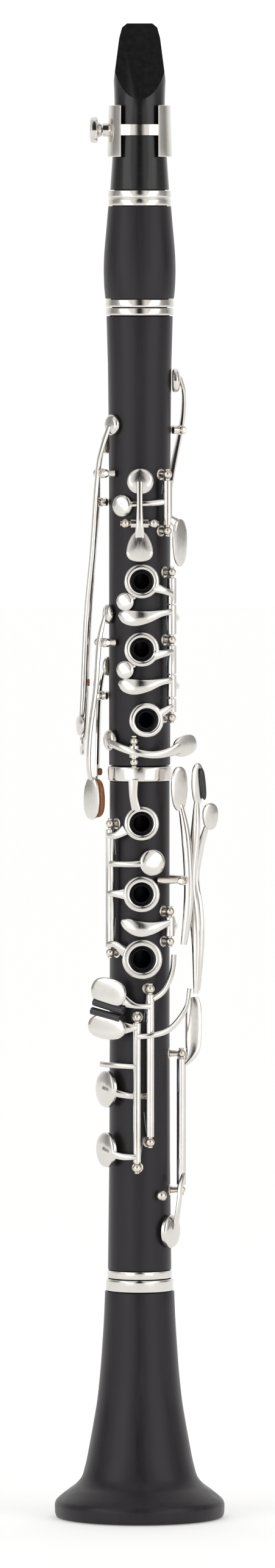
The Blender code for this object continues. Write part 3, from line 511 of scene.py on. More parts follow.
def build_body():
    # mouthpiece: round body, sloping beak in front, chamber and bore inside, shank into the barrel
    mp = turn([(0, Z_TIP), (12.6, Z_TIP), (12.3, 650), (11.0, 631), (11.6, 612), (13.1, Z_MP_BASE), (11.2, Z_MP_BASE),
               (11.2, 571), (7.4, 571), (7.0, 600), (6.0, 628), (4.5, 638), (0, 638)], None, False)
    slope = Matrix.Translation((0, 7.6, Z_TIP)) @ Matrix.Rotation(math.radians(-29), 4, "X")
    wedge = box((-20, -30, -40), (20, 0, 60), slope)
    chamber = box((-4.6, 1.9, -33), (4.6, 30, -4.5), slope)
    table = box((-20, 0, -34), (20, 20, 40), Matrix.Translation((0, 8.6, 630)))
    sides = []
    for x, z, lean in ((5.6, Z_TIP, 50), (7.3, Z_TIP, 15), (8.9, 659, 7.3)):
        sides.append(box((-40, -30, -40), (0, 30, 40), Matrix.Translation((-x, 0, z)) @ Matrix.Rotation(math.radians(lean), 4, "Y")))
        sides.append(box((0, -30, -40), (40, 30, 40), Matrix.Translation((x, 0, z)) @ Matrix.Rotation(math.radians(-lean), 4, "Y")))
    node("mouthpiece", cut(mp, wedge, table, chamber, *sides), "ebonite")
    # reed: flat cane with a rounded tip, lying on the table at the back
    node("reed", plate([(-5.6, 0), (5.6, 0), (6.3, 60), (6.2, 65.6), (3.4, 67.2), (-3.4, 67.2), (-6.2, 65.6), (-6.3, 60)],
                       place(Vector((0, 8.9, 596.8)), Vector((-1, 0, 0)), Z), 1.5), "cane")
    # ligature: a band open in front but for one bar across the middle
    band = turn([(13.7, 605), (14.4, 605.2), (13.7, 627.8), (13.0, 628)])
    for z0, z1 in ((600, 614.6), (619.4, 632)):
        band = cut(band, box((-8.3, -20, z0), (8.3, 0, z1)))
    lug = cyl(Vector((-13.6, 0, 617)), Vector((-16.4, 0, 617)), 3.0, n=12)
    band = join(band, lug)
    band = cut(band, cyl(Vector((-12, 0, 617)), Vector((-18, 0, 617)), 1.5, n=10))
    node("ligature", band, "silver")
    m = place(Vector((-16.7, 0, 617)), Vector((0, 1, 0)), Vector((0, 0, 1)))
    m = Matrix.Translation((-16.7, 0, 617)) @ Matrix.Rotation(math.radians(-90), 4, "Y")
    node("ligature_screw", turn([(0, -2.6), (1.1, -2.6), (1.1, 0), (2.6, 0), (3.6, 1.6), (5.8, 2.0), (5.8, 4.6), (4.6, 5.3), (0, 5.3)], 12, False, m),
         "silver", (-16.7, 0, 617))
    node("mouthpiece_cork", turn([(11.5, 572), (12.1, 572), (12.1, 588.2), (11.5, 588.2)]), "cork")
    # barrel with its two rings
    node("barrel", turn(tube_profile([(13.9, 583.3), (14.6, 575), (15.7, 563), (16.0, 555), (15.7, 547), (15.2, 542.3)], 12.5, 12.5)
                        [:-2] + [(13.1, 542.3), (13.1, 557), (R_BORE, 557), (R_BORE, 570.6), (12.4, 570.6), (12.4, 583.3)]), "wood")
    node("barrel_top_ring", turn([(13.4, 583.6), (13.9, 583.6), (13.9, 586.3), (13.3, 586.8), (13.9, 587.3), (13.9, 590.2), (13.4, 590.2)]), "silver")
    node("barrel_bottom_ring", turn([(13.3, 538.6), (15.0, 538.6), (15.2, 539.2), (15.1, 542.0), (13.3, 542.0)]), "silver")
    # upper joint: top tenon, body, bottom tenon
    up = turn([(12.2, 556.6), (12.2, 538.2), (13.2, 538.2), (13.2, 534.6), (14.7, 534.6), (14.1, 513), (13.7, 480), (13.6, 459), (13.6, 335.4), (10.9, 335.4),
               (10.9, 318.5), (R_BORE, 318.5), (R_BORE, 556.6)])
    chim = []
    for x, z, r in UP_HOLES:
        chim.append((math.degrees(math.asin(x / 15)), z, r))
    for phi, z, r in chim:
        up = join(up, cyl(P(phi, 11, z), P(phi, 15.4, z), r + 1.0, r + 0.7, n=12))
    for phi, z, r in chim:
        up = cut(up, cyl(P(phi, 5, z), P(phi, 20, z), r, n=12))
    node("upper_joint", up, "wood")
    node("upper_joint_ring", turn([(13.4, 535.0), (14.9, 535.0), (15.1, 535.6), (15.0, 538.2), (13.4, 538.2)]), "silver")
    node("upper_tenon_cork", turn([(12.5, 541), (12.85, 541), (12.85, 555), (12.5, 555)]), "cork")
    node("middle_tenon_cork", turn([(11.2, 320), (11.7, 320), (11.7, 333.5), (11.2, 333.5)]), "cork")
    # lower joint: socket at the top, tenon at the bottom
    lo = turn([(12.9, 334.9), (12.9, 328.2), (13.3, 328.2), (13.3, 220), (13.5, 160), (14.1, 112), (14.1, 110.6), (13.4, 110.6), (13.4, 106.9), (12.6, 106.9), (12.6, 87.5),
               (8.6, 87.5), (R_BORE, 200), (R_BORE, 318.2), (12.0, 318.2), (12.0, 334.9)])
    for x, z, r in LO_HOLES:
        phi = math.degrees(math.asin(x / 15))
        lo = join(lo, cyl(P(phi, 11, z), P(phi, 15.1, z), r + 1.0, r + 0.7, n=12))
        lo = cut(lo, cyl(P(phi, 5, z), P(phi, 20, z), r, n=12))
    node("lower_joint", lo, "wood")
    node("lower_joint_ring", turn([(13.2, 328.5), (14.0, 328.5), (14.2, 329.2), (14.2, 334.2), (13.9, 334.9), (13.2, 334.9)]), "silver")
    node("lower_joint_bottom_ring", turn([(13.7, 106.9), (14.4, 106.9), (14.4, 110.3), (13.7, 110.3)]), "silver")
    node("bell_tenon_cork", turn([(12.9, 89), (13.4, 89), (13.4, 100.4), (12.9, 100.4)]), "cork")
    # bell: flared shell, socket at the top, rounded foot rim
    bell = [(13.7, 106.5), (13.7, 101.2), (15.4, 100.8), (15.9, 88), (17.3, 67), (18.8, 52), (20.7, 41), (23.6, 25), (25.6, 17.6), (28.2, 14.5),
            (31.0, 12.5), (34.9, 9.5), (37.2, 7.4), (37.8, 5.8), (37.7, 1.6), (37.0, 0), (34.4, 0), (33.6, 1.2), (32.6, 4.5), (28.5, 8.8),
            (23.6, 15.5), (21.3, 26), (17.3, 42), (13.9, 60), (12.2, 75), (11.4, 87.2), (13.6, 87.2)]
    node("bell", turn(bell[:-1] + [(13.65, 87.2)], 24), "wood")
    node("bell_ring", turn([(14.0, 101.2), (15.0, 101.2), (15.0, 105.8), (14.7, 106.5), (14.0, 106.5)]), "silver")


# ---------------------------------------------------------------- keywork
def wood_r(z):
    rows = [(106, 14.2), (112, 14.1), (160, 13.5), (220, 13.3), (328, 13.3), (335.3, 14.2), (335.4, 13.6), (459, 13.6), (480, 13.7), (513, 14.1), (534, 14.7)]
    for (z0, r0), (z1, r1) in zip(rows, rows[1:]):
        if z0 <= z <= z1:
            return r0 + (r1 - r0) * (z - z0) / (z1 - z0)
    return 14.0


def post(phi, r, z, off=0.0, rb=2.0):
    """A turned post: foot on the wood, pillar, and the ball that holds the rod's end."""
    s, o = side(phi), out(phi)
    d = math.sqrt(wood_r(z) ** 2 - max(0, abs(off) - 1.7) ** 2) + 0.35
    flat = s * off + Vector((0, 0, z))
    return join(cyl(o * d + flat, o * (r - 0.3) + flat, 1.7, 1.1, n=6), ball(o * r + flat, rb))


def posts_along(name, phi, r, zs, rb=2.0):
    """Rod along the bore with a post at each height, as one piece."""
    shape = cyl(P(phi, r, zs[0]), P(phi, r, zs[-1]), ROD_R, n=6)
    for z in zs:
        shape = join(shape, post(phi, r, z, rb=rb))
    return node(name, shape, "silver")


def posts_across(name, phi, r, z, offs, rb=2.0):
    """Rod across the bore with a post at each sideways offset, as one piece."""
    s, c = side(phi), P(phi, r, z)
    shape = cyl(c + s * offs[0], c + s * offs[-1], ROD_R, n=6)
    for q in offs:
        shape = join(shape, post(phi, r, z, q, rb))
    return node(name, shape, "silver")


def key_along(name, phi, r, z0, z1, *shapes, tube=TUBE_R):
    """A key whose tube turns on a rod that runs along the bore."""
    a, b = P(phi, r, z0), P(phi, r, z1)
    shape = join(cyl(a, b, tube), *shapes)
    shape = cut(shape, cyl(a - Z * 0.5, b + Z * 0.5, BORE_R, n=6))
    return node(name, shape, "silver", (a + b) / 2)


def key_across(name, phi, r, z, half, *shapes, off=0.0):
    """A see-saw key whose short tube turns on a rod across the bore."""
    s, c = side(phi), P(phi, r, z) + side(phi) * off
    shape = join(cyl(c - s * half, c + s * half, TUBE_R), *shapes)
    shape = cut(shape, cyl(c - s * (half + 0.5), c + s * (half + 0.5), BORE_R, n=6))
    return node(name, shape, "silver", c)


def lever_bar(phi, off, path, **kw):
    """A bar at a constant sideways offset; path rows: (r, z, half width, half thickness)."""
    o, s = out(phi), side(phi)
    rows = []
    for r, z, w, t in path:
        p = o * r + s * off
        rows.append((math.degrees(math.atan2(p.x, -p.y)), math.hypot(p.x, p.y), z, w, t))
    return arm(rows, outward=o, **kw)


def cup_at(phi, r, z, rad, h=3.0):
    return cup(facing(phi, r, z), rad, h)


def touch(phi, r, z, a, b, t=1.3, face=None, c=0.15, tilt=0.0, off=0.0, power=0.85):
    """A finger plate centred at (phi, r, z), facing another angle if given."""
    f = phi if face is None else face
    m = facing(f, 0, 0)
    m.translation = P(phi, r, z) + side(phi) * off
    return plate(egg(a, b, c, 12, power), m @ Matrix.Rotation(math.radians(tilt), 4, "Z"), t)


RIGHT, LOWR = (54.7, 17.4), (-50.0, 17.0)
F_ROD, E_ROD, A_ROD = (15.7, 17.2), (-3.8, 17.2), (80.0, 18.8)
LEV, LEV_R, LEV_Z = 75.0, 21.8, 284.5


def build_upper_keys():
    posts_along("upper_stack_rod", *RIGHT, (421.3, 391.2, 356.8))
    for name, x, z, z0, z1, za in (("ring_key_1", 0.9, 417.4, 407.2, 418.8, 411.4), ("ring_key_2", 0.9, 387.2, 376.2, 388.8, 386.2)):
        f = math.degrees(math.asin(x / 15.6))
        key_along(name, *RIGHT, z0, z1, washer(facing(f, 15.6, z), 7.75, 5.2, 1.5),
                  arm([(21.5, 17.4, z - 2.5, 2.3, 0.7), (37, 18.2, (z - 2.5 + za) / 2, 1.5, 0.8), (54.0, 18.2, za, 1.5, 1.0)]),
                  arm([(-9, 16.4, z - 6.2, 1.6, 0.6), (-20, 16.9, z - 8.4, 1.8, 0.7)]),
                  cup_at(-22.3, 15.7, z - 9.05, 4.1, 2.8))
    key_along("ring_key_3", *RIGHT, 359.2, 365.2, washer(facing(10.7, 15.6, 355.9), 7.75, 5.2, 1.5),
              arm([(30, 17.3, 358.4, 2.0, 0.7), (43, 18.1, 360.6, 1.5, 0.8), (54.0, 18.3, 362, 1.5, 1.0)]))
    for name, z, z0, z1 in (("crescent_key_1", 401.0, 393.6, 406.8), ("crescent_key_2", 370.6, 366.0, 375.8)):
        key_along(name, *RIGHT, z0, z1,
                  arm([(-33, 16.5, z + 1.8, 1.0, 0.6), (-24, 16.7, z + 0.9, 2.9, 0.9), (-8, 16.9, z, 3.4, 1.0), (12, 17.1, z + 0.6, 2.6, 1.0),
                       (34, 17.5, z + 2.2, 1.5, 0.9), (54, 18.0, z + 3, 1.5, 1.1)]),
                  arm([(57, 18.2, z, 1.4, 1.0), (74, 17.6, z, 1.4, 0.8), (88, 16.4, z, 1.6, 0.6)]), cup_at(92, 13.95, z, 4.2, 2.6))
    # A key: see-saw along the front
    posts_across("a_key_posts", 0, 17.5, 443, (-6.2, 6.2))
    key_across("a_key", 0, 17.5, 443, 3.9, cup_at(1.1, 13.95, 461.6, 5.9, 3.6),
               arm([(0, 18.0, 461.5, 1.4, 0.8), (0, 18.9, 452, 1.3, 0.8), (0, 19.0, 443, 1.7, 1.0), (0, 18.2, 437, 2.2, 0.8)]),
               touch(0, 17.2, 433.2, 5.5, 7.1, 1.4, c=-0.4))
    # G sharp key: its tube stands at the right, its arm passes under the A key
    posts_along("g_sharp_key_posts", 43.9, 17.8, (464.6, 439.6))
    key_along("g_sharp_key", 43.9, 17.8, 442.2, 462.0, cup_at(-30.2, 13.95, 450.8, 4.9, 3.0),
              arm([(-30, 16.5, 450.8, 1.4, 0.7), (-14, 16.1, 451.4, 1.2, 0.55), (0, 15.7, 451.6, 1.1, 0.55), (22, 16.2, 452, 1.2, 0.7), (42, 17.0, 452.5, 1.4, 1.0)]),
              arm([(46, 19.0, 445, 1.6, 1.0), (54, 20.3, 443, 2.4, 0.8)]),
              touch(58, 20.4, 434.4, 4.4, 10.6, 1.3, face=48, c=0.1))
    # register key: cup at the right edge, its lever curving away to a touch at the back
    posts_across("register_key_posts", 112, 18.2, 484, (-5.6, 5.6))
    key_across("register_key", 112, 18.2, 484, 3.2, cup_at(92, wood_r(506) + 0.4, 506, 5.4, 3.6),
               arm([(92, 18.0, 507.5, 2.6, 0.9), (96, 19.6, 501, 2.2, 1.0), (104, 19.9, 492, 1.9, 1.0), (112, 19.6, 484, 1.9, 1.0), (126, 18.9, 470, 1.8, 0.9),
                    (140, 18.5, 452, 1.9, 0.9), (150, 18.2, 440, 2.4, 0.9)]),
               touch(152, 17.6, 434.5, 5.0, 6.6, 1.3))
    # four side keys at the left edge
    posts_across("side_key_1_posts", -72, 18.0, 465, (-5.2, 5.2))
    key_across("side_key_1", -72, 18.0, 465, 2.9, cup_at(-53, 14.1, 486.5, 4.6, 3.0),
               arm([(-53, 16.8, 486, 1.4, 0.7), (-64, 18.6, 476, 1.5, 0.8), (-72, 19.6, 465, 1.7, 1.0), (-80, 21.2, 430, 1.7, 1.3), (-88, 23.5, 400, 1.7, 1.4),
                    (-88, 25.0, 365, 1.8, 1.4), (-88, 26.0, 355, 2.2, 1.0)]),
               touch(-88, 25.6, 352.8, 3.6, 4.4, 1.6, face=-70, off=0.0))
    posts_across("side_key_2_posts", -107.5, 17.8, 452, (-4.8, 4.8))
    key_across("side_key_2", -107.5, 17.8, 452, 2.5, cup_at(-107.5, 14.15, 478, 4.6, 3.0),
               lever_bar(-107.5, 0, [(17.0, 477, 1.4, 0.7), (18.9, 465, 1.5, 0.8), (19.4, 452, 1.7, 1.0), (21.5, 425, 1.7, 0.9), (23.6, 395, 1.7, 0.9), (25.2, 356, 1.8, 0.9), (26.2, 346, 2.2, 0.9)]),
               touch(-107.5, 25.8, 343.6, 3.6, 4.4, 1.6, face=-95.5))
    posts_across("side_key_3_posts", -69, 17.6, 390, (-4.8, 4.8))
    key_across("side_key_3", -69, 17.6, 390, 2.5, cup_at(-69, 13.95, 402.5, 4.4, 2.8),
               arm([(-69, 16.6, 402, 1.4, 0.6), (-69, 19.2, 390, 1.7, 1.0), (-71, 20.6, 370, 1.7, 0.9), (-75, 22.8, 350, 1.9, 0.9), (-76, 23.4, 336, 2.0, 0.9), (-76, 22.4, 329, 2.6, 0.8)]),
               touch(-76, 21.4, 320.8, 4.6, 9.6, 1.3, face=-42, c=-0.1))
    posts_across("side_key_4_posts", -110, 17.4, 366, (-4.6, 4.6))
    key_across("side_key_4", -110, 17.4, 366, 2.3, cup_at(-110, 13.95, 379, 4.4, 2.8),
               arm([(-110, 16.6, 378.5, 1.4, 0.6), (-110, 19.0, 366, 1.7, 1.0), (-110, 19.6, 350, 1.8, 0.9), (-110, 20.0, 330, 2.0, 0.9)]),
               touch(-110, 19.6, 322, 4.4, 8.6, 1.3, face=-96, c=-0.1))
    # C sharp / G sharp key: crosses the front below the third ring
    posts_along("c_sharp_key_posts", -8, 17.8, (346.6, 337.4), rb=1.7)
    key_along("c_sharp_key", -8, 17.8, 339.3, 344.7, cup_at(-60, 13.95, 346.6, 4.6, 3.0),
              arm([(-58, 16.6, 346.2, 1.6, 0.7), (-35, 17.6, 344.4, 1.6, 0.8), (-8, 19.3, 342, 1.6, 0.8), (18, 19.0, 340.6, 1.6, 0.8), (42, 19.4, 341.6, 2.0, 0.8), (60, 20.6, 343.4, 3.0, 0.8)]),
              touch(72, 20.6, 344.2, 7.0, 4.7, 1.3, face=42, c=0, tilt=14))
    # thumb ring at the back
    posts_along("thumb_ring_posts", -142, 17.4, (415.5, 392.5))
    key_along("thumb_ring_key", -142, 17.4, 395.0, 413.0, washer(facing(180, 15.6, 404), 7.4, 5.2, 1.5),
              arm([(-158, 16.9, 404, 2.2, 0.7), (-146, 18.0, 404, 1.6, 1.0)]))
    node("thumb_tube", turn([(3.2, 0), (4.4, 0), (4.1, 1.6), (3.2, 1.6)], 14, True, facing(180, 13.95, 404)), "wood")


def build_lower_keys():
    posts_along("lower_stack_rod", *LOWR, (309.6, 252.4))
    arms = []
    for x, z, ro, ri, za in ((0.8, 310, 7.7, 5.2, 304.6), (0.8, 278.6, 8.1, 5.2, 278.8), (1.1, 249.7, 8.9, 5.9, 256.2)):
        f = math.degrees(math.asin(x / 15.4))
        arms += [washer(facing(f, 15.4, z), ro, ri, 1.5), arm([(-21.5, 17.3, (z + za) / 2, 2.4, 0.7), (-36, 18.1, za, 1.5, 0.8), (-49, 18.2, za, 1.5, 1.0)])]
    key_along("lower_ring_key", *LOWR, 254.8, 307.2, *arms, cup_at(19, 15.6, 292.7, 5.9, 3.4),
              arm([(8, 18.2, 292.4, 1.5, 0.7), (-15, 17.8, 292, 1.3, 0.8), (-49, 17.9, 292, 1.4, 1.0)]),
              arm([(-5, 16.4, 315.9, 2.0, 0.7), (-9, 17.4, 322, 1.8, 0.8), (-9, 17.9, 329.5, 2.2, 0.9)]))
    posts_along("lower_crescent_posts", 52, 17.0, (270.7, 257.3))
    key_along("lower_crescent_key", 52, 17.0, 259.7, 268.3,
              arm([(-29, 16.2, 266.6, 1.0, 0.6), (-20, 16.4, 265.3, 2.6, 0.9), (0, 16.6, 263.2, 3.4, 1.0), (20, 16.9, 263.6, 2.6, 1.0), (40, 17.4, 265.2, 1.6, 0.9), (51, 17.8, 266, 1.5, 1.0)]),
              arm([(55, 17.6, 264, 1.4, 1.0), (72, 17.0, 264, 1.4, 0.8), (86, 15.9, 264, 1.6, 0.6)]), cup_at(90, 13.65, 264, 4.4, 2.6))
    # right-hand little finger keys: two front rods, two paddles, two big cups at the left
    posts_along("low_f_posts", *F_ROD, (236.6, 168.4))
    key_along("low_f_key", *F_ROD, 170.8, 234.2, cup_at(-60, 15.6, 191.5, 8.2, 3.6),
              arm([(13, 16.2, 188.8, 1.3, 0.7), (5, 14.65, 188.8, 1.3, 0.4), (-12, 14.6, 188.8, 1.3, 0.4), (-24, 16.2, 189.2, 1.4, 0.6), (-40, 18.6, 190.5, 1.6, 0.8), (-58, 19.0, 191.5, 1.8, 0.8)]),
              arm([(15, 18.6, 228.9, 1.3, 0.9), (-4, 19.6, 229.2, 1.2, 0.8), (-18, 20.0, 231, 2.4, 0.8), (-28, 20.4, 233, 4.0, 0.7)]),
              arm([(19, 18.4, 232.2, 1.2, 0.8), (36, 18.6, 236, 1.3, 0.8), (50, 18.8, 244, 1.4, 0.8), (54, 18.8, 251.5, 1.5, 0.8)]),
              touch(-40, 20.8, 235.2, 9.0, 6.4, 1.4, face=-30, c=0.0, tilt=-10), tube=1.8)
    posts_along("low_e_posts", *E_ROD, (224.0, 157.0))
    key_along("low_e_key", *E_ROD, 159.4, 221.6, cup_at(-60, 15.6, 164.5, 7.8, 3.6),
              arm([(-5, 18.5, 162, 1.3, 0.9), (-22, 18.6, 162, 1.4, 0.8), (-40, 18.8, 163, 1.6, 0.8), (-58, 19.0, 164.5, 1.8, 0.8)]),
              arm([(-5, 18.4, 202.2, 1.2, 0.8), (-30, 18.2, 202.4, 1.2, 0.8), (-68, 18.4, 202.6, 1.3, 0.8)]),
              arm([(-5, 18.6, 219.6, 1.3, 0.9), (-16, 20.0, 219.4, 2.2, 0.8), (-26, 20.6, 219.4, 3.6, 0.7)]),
              arm([(-2, 18.7, 215.6, 1.2, 0.8), (15, 20.6, 216.2, 1.2, 0.7), (40, 21.2, 219, 1.3, 0.8), (64, 23.0, 228, 1.4, 0.8), (72, 23.2, 236, 1.5, 0.8)]),
              touch(-42, 21.2, 219.6, 9.6, 5.4, 1.4, face=-30, c=0.0, tilt=-6), tube=1.8)
    # A flat key: rod at the right edge, cup low at the right
    posts_along("a_flat_posts", *A_ROD, (207.0, 146.2), rb=1.9)
    key_along("a_flat_key", *A_ROD, 148.5, 204.7, cup_at(62, 14.05, 128, 7.4, 3.8),
              arm([(78, 19.9, 153, 1.4, 1.0), (66, 20.0, 149, 1.5, 0.9), (62.5, 19.6, 140, 1.6, 0.9), (62, 17.8, 129, 2.0, 0.8)]),
              arm([(81, 20.4, 202, 1.6, 1.0), (83, 23.0, 206.5, 1.4, 2.6), (84, 23.9, 212, 1.3, 3.6), (84, 24.0, 227, 1.3, 3.6), (84, 23.4, 232, 1.2, 2.4)]))
    # left-hand little finger levers on one rod across the right side
    posts_across("left_lever_posts", LEV, LEV_R, LEV_Z, (-9.6, 9.6), rb=1.8)
    for k, (off, rows, pad) in enumerate((
            (-5.2, [(20.3, 318, 1.8, 1.1), (22.6, 304, 1.8, 2.0), (23.9, LEV_Z, 1.8, 2.1), (23.4, 270, 1.8, 2.0), (21.6, 256, 1.7, 1.3)], (19.4, 325.2, 4.4, 10.0)),
            (0, [(26.2, 320, 1.8, 1.1), (25.6, 306, 1.8, 2.1), (23.9, LEV_Z, 1.8, 2.1), (25.2, 268, 1.8, 2.3), (26.0, 255, 1.8, 2.0), (25.9, 234, 1.7, 1.1)], (26.2, 327.2, 3.2, 9.4)),
            (5.2, [(29.4, 308.5, 1.8, 1.0), (26.0, 297, 1.8, 1.8), (23.9, LEV_Z, 1.8, 2.1), (25.6, 271, 1.8, 2.3), (26.2, 256, 1.8, 2.1), (25.2, 235, 1.7, 1.2)], (30.4, 312.5, 4.2, 6.0)))):
        m = facing(38, 0, 0)
        m.translation = out(LEV) * pad[0] + side(LEV) * off * 1.15 + Z * pad[1]
        key_across(f"left_lever_{k + 1}", LEV, LEV_R, LEV_Z, 2.2, lever_bar(LEV, off, rows), plate(egg(pad[2], pad[3], 0.1, 12, 0.85), m, 1.3), off=off)
    # thumb rest: saddle plate and hook
    rest = plate([(-5, -11), (5, -11), (5.5, 11), (-5.5, 11)], facing(180, wood_r(262) + 0.4, 262), 1.4)
    hook = plate([(-5, 0), (5, 0), (5.6, 12), (3.0, 15), (-3.0, 15), (-5.6, 12)], place(P(180, wood_r(262) + 1.2, 259), side(180), out(180)), -2.2)
    node("thumb_rest", join(rest, hook), "silver")




def screw_end(p, d, r=1.15):
    """Slotted end of a pivot screw, standing out of a post's ball along d."""
    d = d.normalized()
    head = cyl(p, p + d * 0.7, r)
    q = d.orthogonal().normalized()
    m = place(p + d * 0.5, q, d.cross(q))
    return cut(head, box((-2, -0.16, -0.05), (2, 0.16, 1), m))


def extra(name, shape, look, body):
    return finish_piece(name, shape, look, body)


def build_extras():
    # slotted pivot screws in the ends of the rods that run along the bore
    k = 0
    for phi, r, zs in ((*RIGHT, (421.3, 356.8)), (43.9, 17.8, (464.6, 439.6)), (-8, 17.8, (346.6, 337.4)), (-142, 17.4, (415.5, 392.5)), (*LOWR, (309.6, 252.4)),
                       (52, 17.0, (270.7, 257.3)), (*F_ROD, (236.6, 168.4)), (*E_ROD, (224.0, 157.0)), (*A_ROD, (207.0, 146.2))):
        for z, d in ((zs[0], 1), (zs[1], -1)):
            k += 1
            extra(f"pivot_screw_{k}", screw_end(P(phi, r, z) + Z * d * 1.75, Z * d), "silver_posts", "body")
    for phi, r, z, w in ((0, 17.5, 443, 6.2), (112, 18.2, 484, 5.6), (-72, 18.0, 465, 5.2), (-107.5, 17.8, 452, 4.8), (-69, 17.6, 390, 4.8), (-110, 17.4, 366, 4.6), (LEV, LEV_R, LEV_Z, 9.6)):
        for d in (1, -1):
            k += 1
            extra(f"pivot_screw_{k}", screw_end(P(phi, r, z) + side(phi) * d * (w + 1.65), side(phi) * d), "silver_posts", "body")
    # feet of the posts: a small round base let into the wood
    feet = []
    for phi, r, zs in ((*RIGHT, (421.3, 391.2, 356.8)), (43.9, 17.8, (464.6, 439.6)), (-142, 17.4, (415.5, 392.5)), (*LOWR, (309.6, 252.4)), (52, 17.0, (270.7, 257.3)),
                       (*F_ROD, (236.6, 168.4)), (*E_ROD, (224.0, 157.0)), (*A_ROD, (207.0, 146.2))):
        feet += [(phi, z) for z in zs]
    for i, (phi, z) in enumerate(feet):
        o = out(phi)
        w = wood_r(z)
        m = facing(phi, w - 0.35, z)
        extra(f"post_base_{i}", turn([(0, 0), (2.5, 0), (2.5, 0.42), (2.1, 0.66), (0, 0.66)], 16, False, m), "silver_posts", "body")
    # needle springs: thin blued steel from a post to a catch on the key tube
    for i, (phi, r, z0, z1) in enumerate(((*RIGHT, 391.2, 402), (*RIGHT, 391.2, 380), (*LOWR, 252.4, 268), (*LOWR, 309.6, 296), (*F_ROD, 236.6, 222), (*F_ROD, 168.4, 182),
                                          (*E_ROD, 157.0, 171), (*A_ROD, 207.0, 190), (*A_ROD, 146.2, 160), (43.9, 17.8, 464.6, 456), (-142, 17.4, 415.5, 406))):
        lean = -2.6 if phi > 0 else 2.6
        a = P(phi, r - 1.3, z0) + side(phi) * lean * 0.35
        b = P(phi, r - 1.0, z1) + side(phi) * lean
        extra(f"needle_spring_{i}", cyl(a, b, 0.28, 0.16), "steel", "body")
    # black rollers between the two right-hand little finger paddles, and on a left-hand lever
    for i, (body, phi, r, z, length, tilt) in enumerate((("low_f_key", -40, 21.4, 228.9, 15.5, -14), ("low_e_key", -43, 21.9, 225.2, 15.0, -12))):
        s, o = side(-30), out(-30)
        d = (s * math.cos(math.radians(tilt)) + Z * math.sin(math.radians(tilt))).normalized()
        c = P(phi, r, z)
        extra(f"roller_{i}", cyl(c - d * length / 2, c + d * length / 2, 1.75), "black", body)
    m = facing(38, 0, 0)
    m.translation = out(LEV) * 27.0 + side(LEV) * 0 + Z * 327.2
    strip = plate(egg(1.35, 7.2, 0.0, 12, 0.8), m @ Matrix.Translation((1.3, 0, 1.05)) @ Matrix.Rotation(math.radians(7), 4, "Z"), 1.0)
    extra("lever_roller_strip", strip, "black", "left_lever_2")
    # cork under the long side key's leaf, seen at its inner edge
    m = facing(-42, 0, 0)
    m.translation = P(-76, 21.4, 320.8)
    cork = plate(egg(4.0, 8.6, -0.1, 12, 0.85), m @ Matrix.Translation((1.9, 0, -1.75)), 1.7, crown=0.05)
    extra("leaf_cork", cork, "cork", "side_key_3")
    # small corks under arms
    for i, (body, phi, r, z) in enumerate((("a_key", 0, 16.5, 430.5), ("register_key", 152, 16.9, 432), ("side_key_1", -88, 22.4, 372), ("side_key_4", -110, 18.3, 332))):
        extra(f"key_cork_{i}", turn([(0, 0), (1.6, 0), (1.6, 0.9), (0, 0.9)], 16, False, facing(phi, r - 0.2, z)), "cork", body)
    # guard post low at the right
    extra("guard_post", post(38, 15.8, 144.3, rb=2.4), "silver_posts", "body")
    # thumb rest screws
    for i, z in enumerate((255.5, 268.5)):
        extra(f"thumb_rest_screw_{i}", turn([(0, 0), (1.7, 0), (1.7, 0.3), (0.9, 0.75), (0, 0.8)], 16, False, facing(180, wood_r(262) + 1.75, z)), "silver_posts", "body")
    # painted shade: black matte sleeves over the finger holes' chimney ends stand in for the shadow inside the holes,
    # so that they read deep
    for i, (x, z, r) in enumerate(UP_HOLES + LO_HOLES):
        phi = math.degrees(math.asin(x / 15))
        top = 15.4 if i < len(UP_HOLES) else 15.1
        extra(f"hole_shade_sleeve_{i}", turn([(r + 0.04, -1.0), (r + 1.1, -1.0), (r + 0.85, 0.2), (r + 0.04, 0.2)], 16, True, facing(phi, top, z)), "hole_painted_shade", "body")


build_body()
build_upper_keys()
build_lower_keys()
build_extras()
for leftover in list(SCRAP.objects):
    bpy.data.objects.remove(leftover)
bpy.data.collections.remove(SCRAP)


# ---------------------------------------------------------------- stage, light and camera
def plain(name, rgb, rough):
    m = bpy.data.materials.new(name)
    m.use_nodes = True
    b = m.node_tree.nodes["Principled BSDF"]
    b.inputs["Base Color"].default_value = (*rgb, 1)
    b.inputs["Roughness"].default_value = rough
    return m


floor_mesh = bpy.data.meshes.new("floor")
bm = bmesh.new()
bmesh.ops.create_grid(bm, x_segments=1, y_segments=1, size=12)
bm.to_mesh(floor_mesh)
bm.free()
floor = bpy.data.objects.new("floor", floor_mesh)
floor.location = (0, 0, -0.0004)
bpy.context.scene.collection.objects.link(floor)
floor_white = plain("floor_white", (0.9, 0.9, 0.9), 0.9)
floor_white.node_tree.nodes["Principled BSDF"].inputs["Emission Color"].default_value = (1, 1, 1, 1)
floor_white.node_tree.nodes["Principled BSDF"].inputs["Emission Strength"].default_value = 0.3
floor_mesh.materials.append(floor_white)

scene = bpy.context.scene
scene.view_settings.view_transform = "Standard"
world = bpy.data.worlds.new("soft_white")
scene.world = world
world.use_nodes = True
wt = world.node_tree
bg = wt.nodes["Background"]
tc = wt.nodes.new("ShaderNodeTexCoord")
sep = wt.nodes.new("ShaderNodeSeparateXYZ")
wt.links.new(tc.outputs["Generated"], sep.inputs["Vector"])
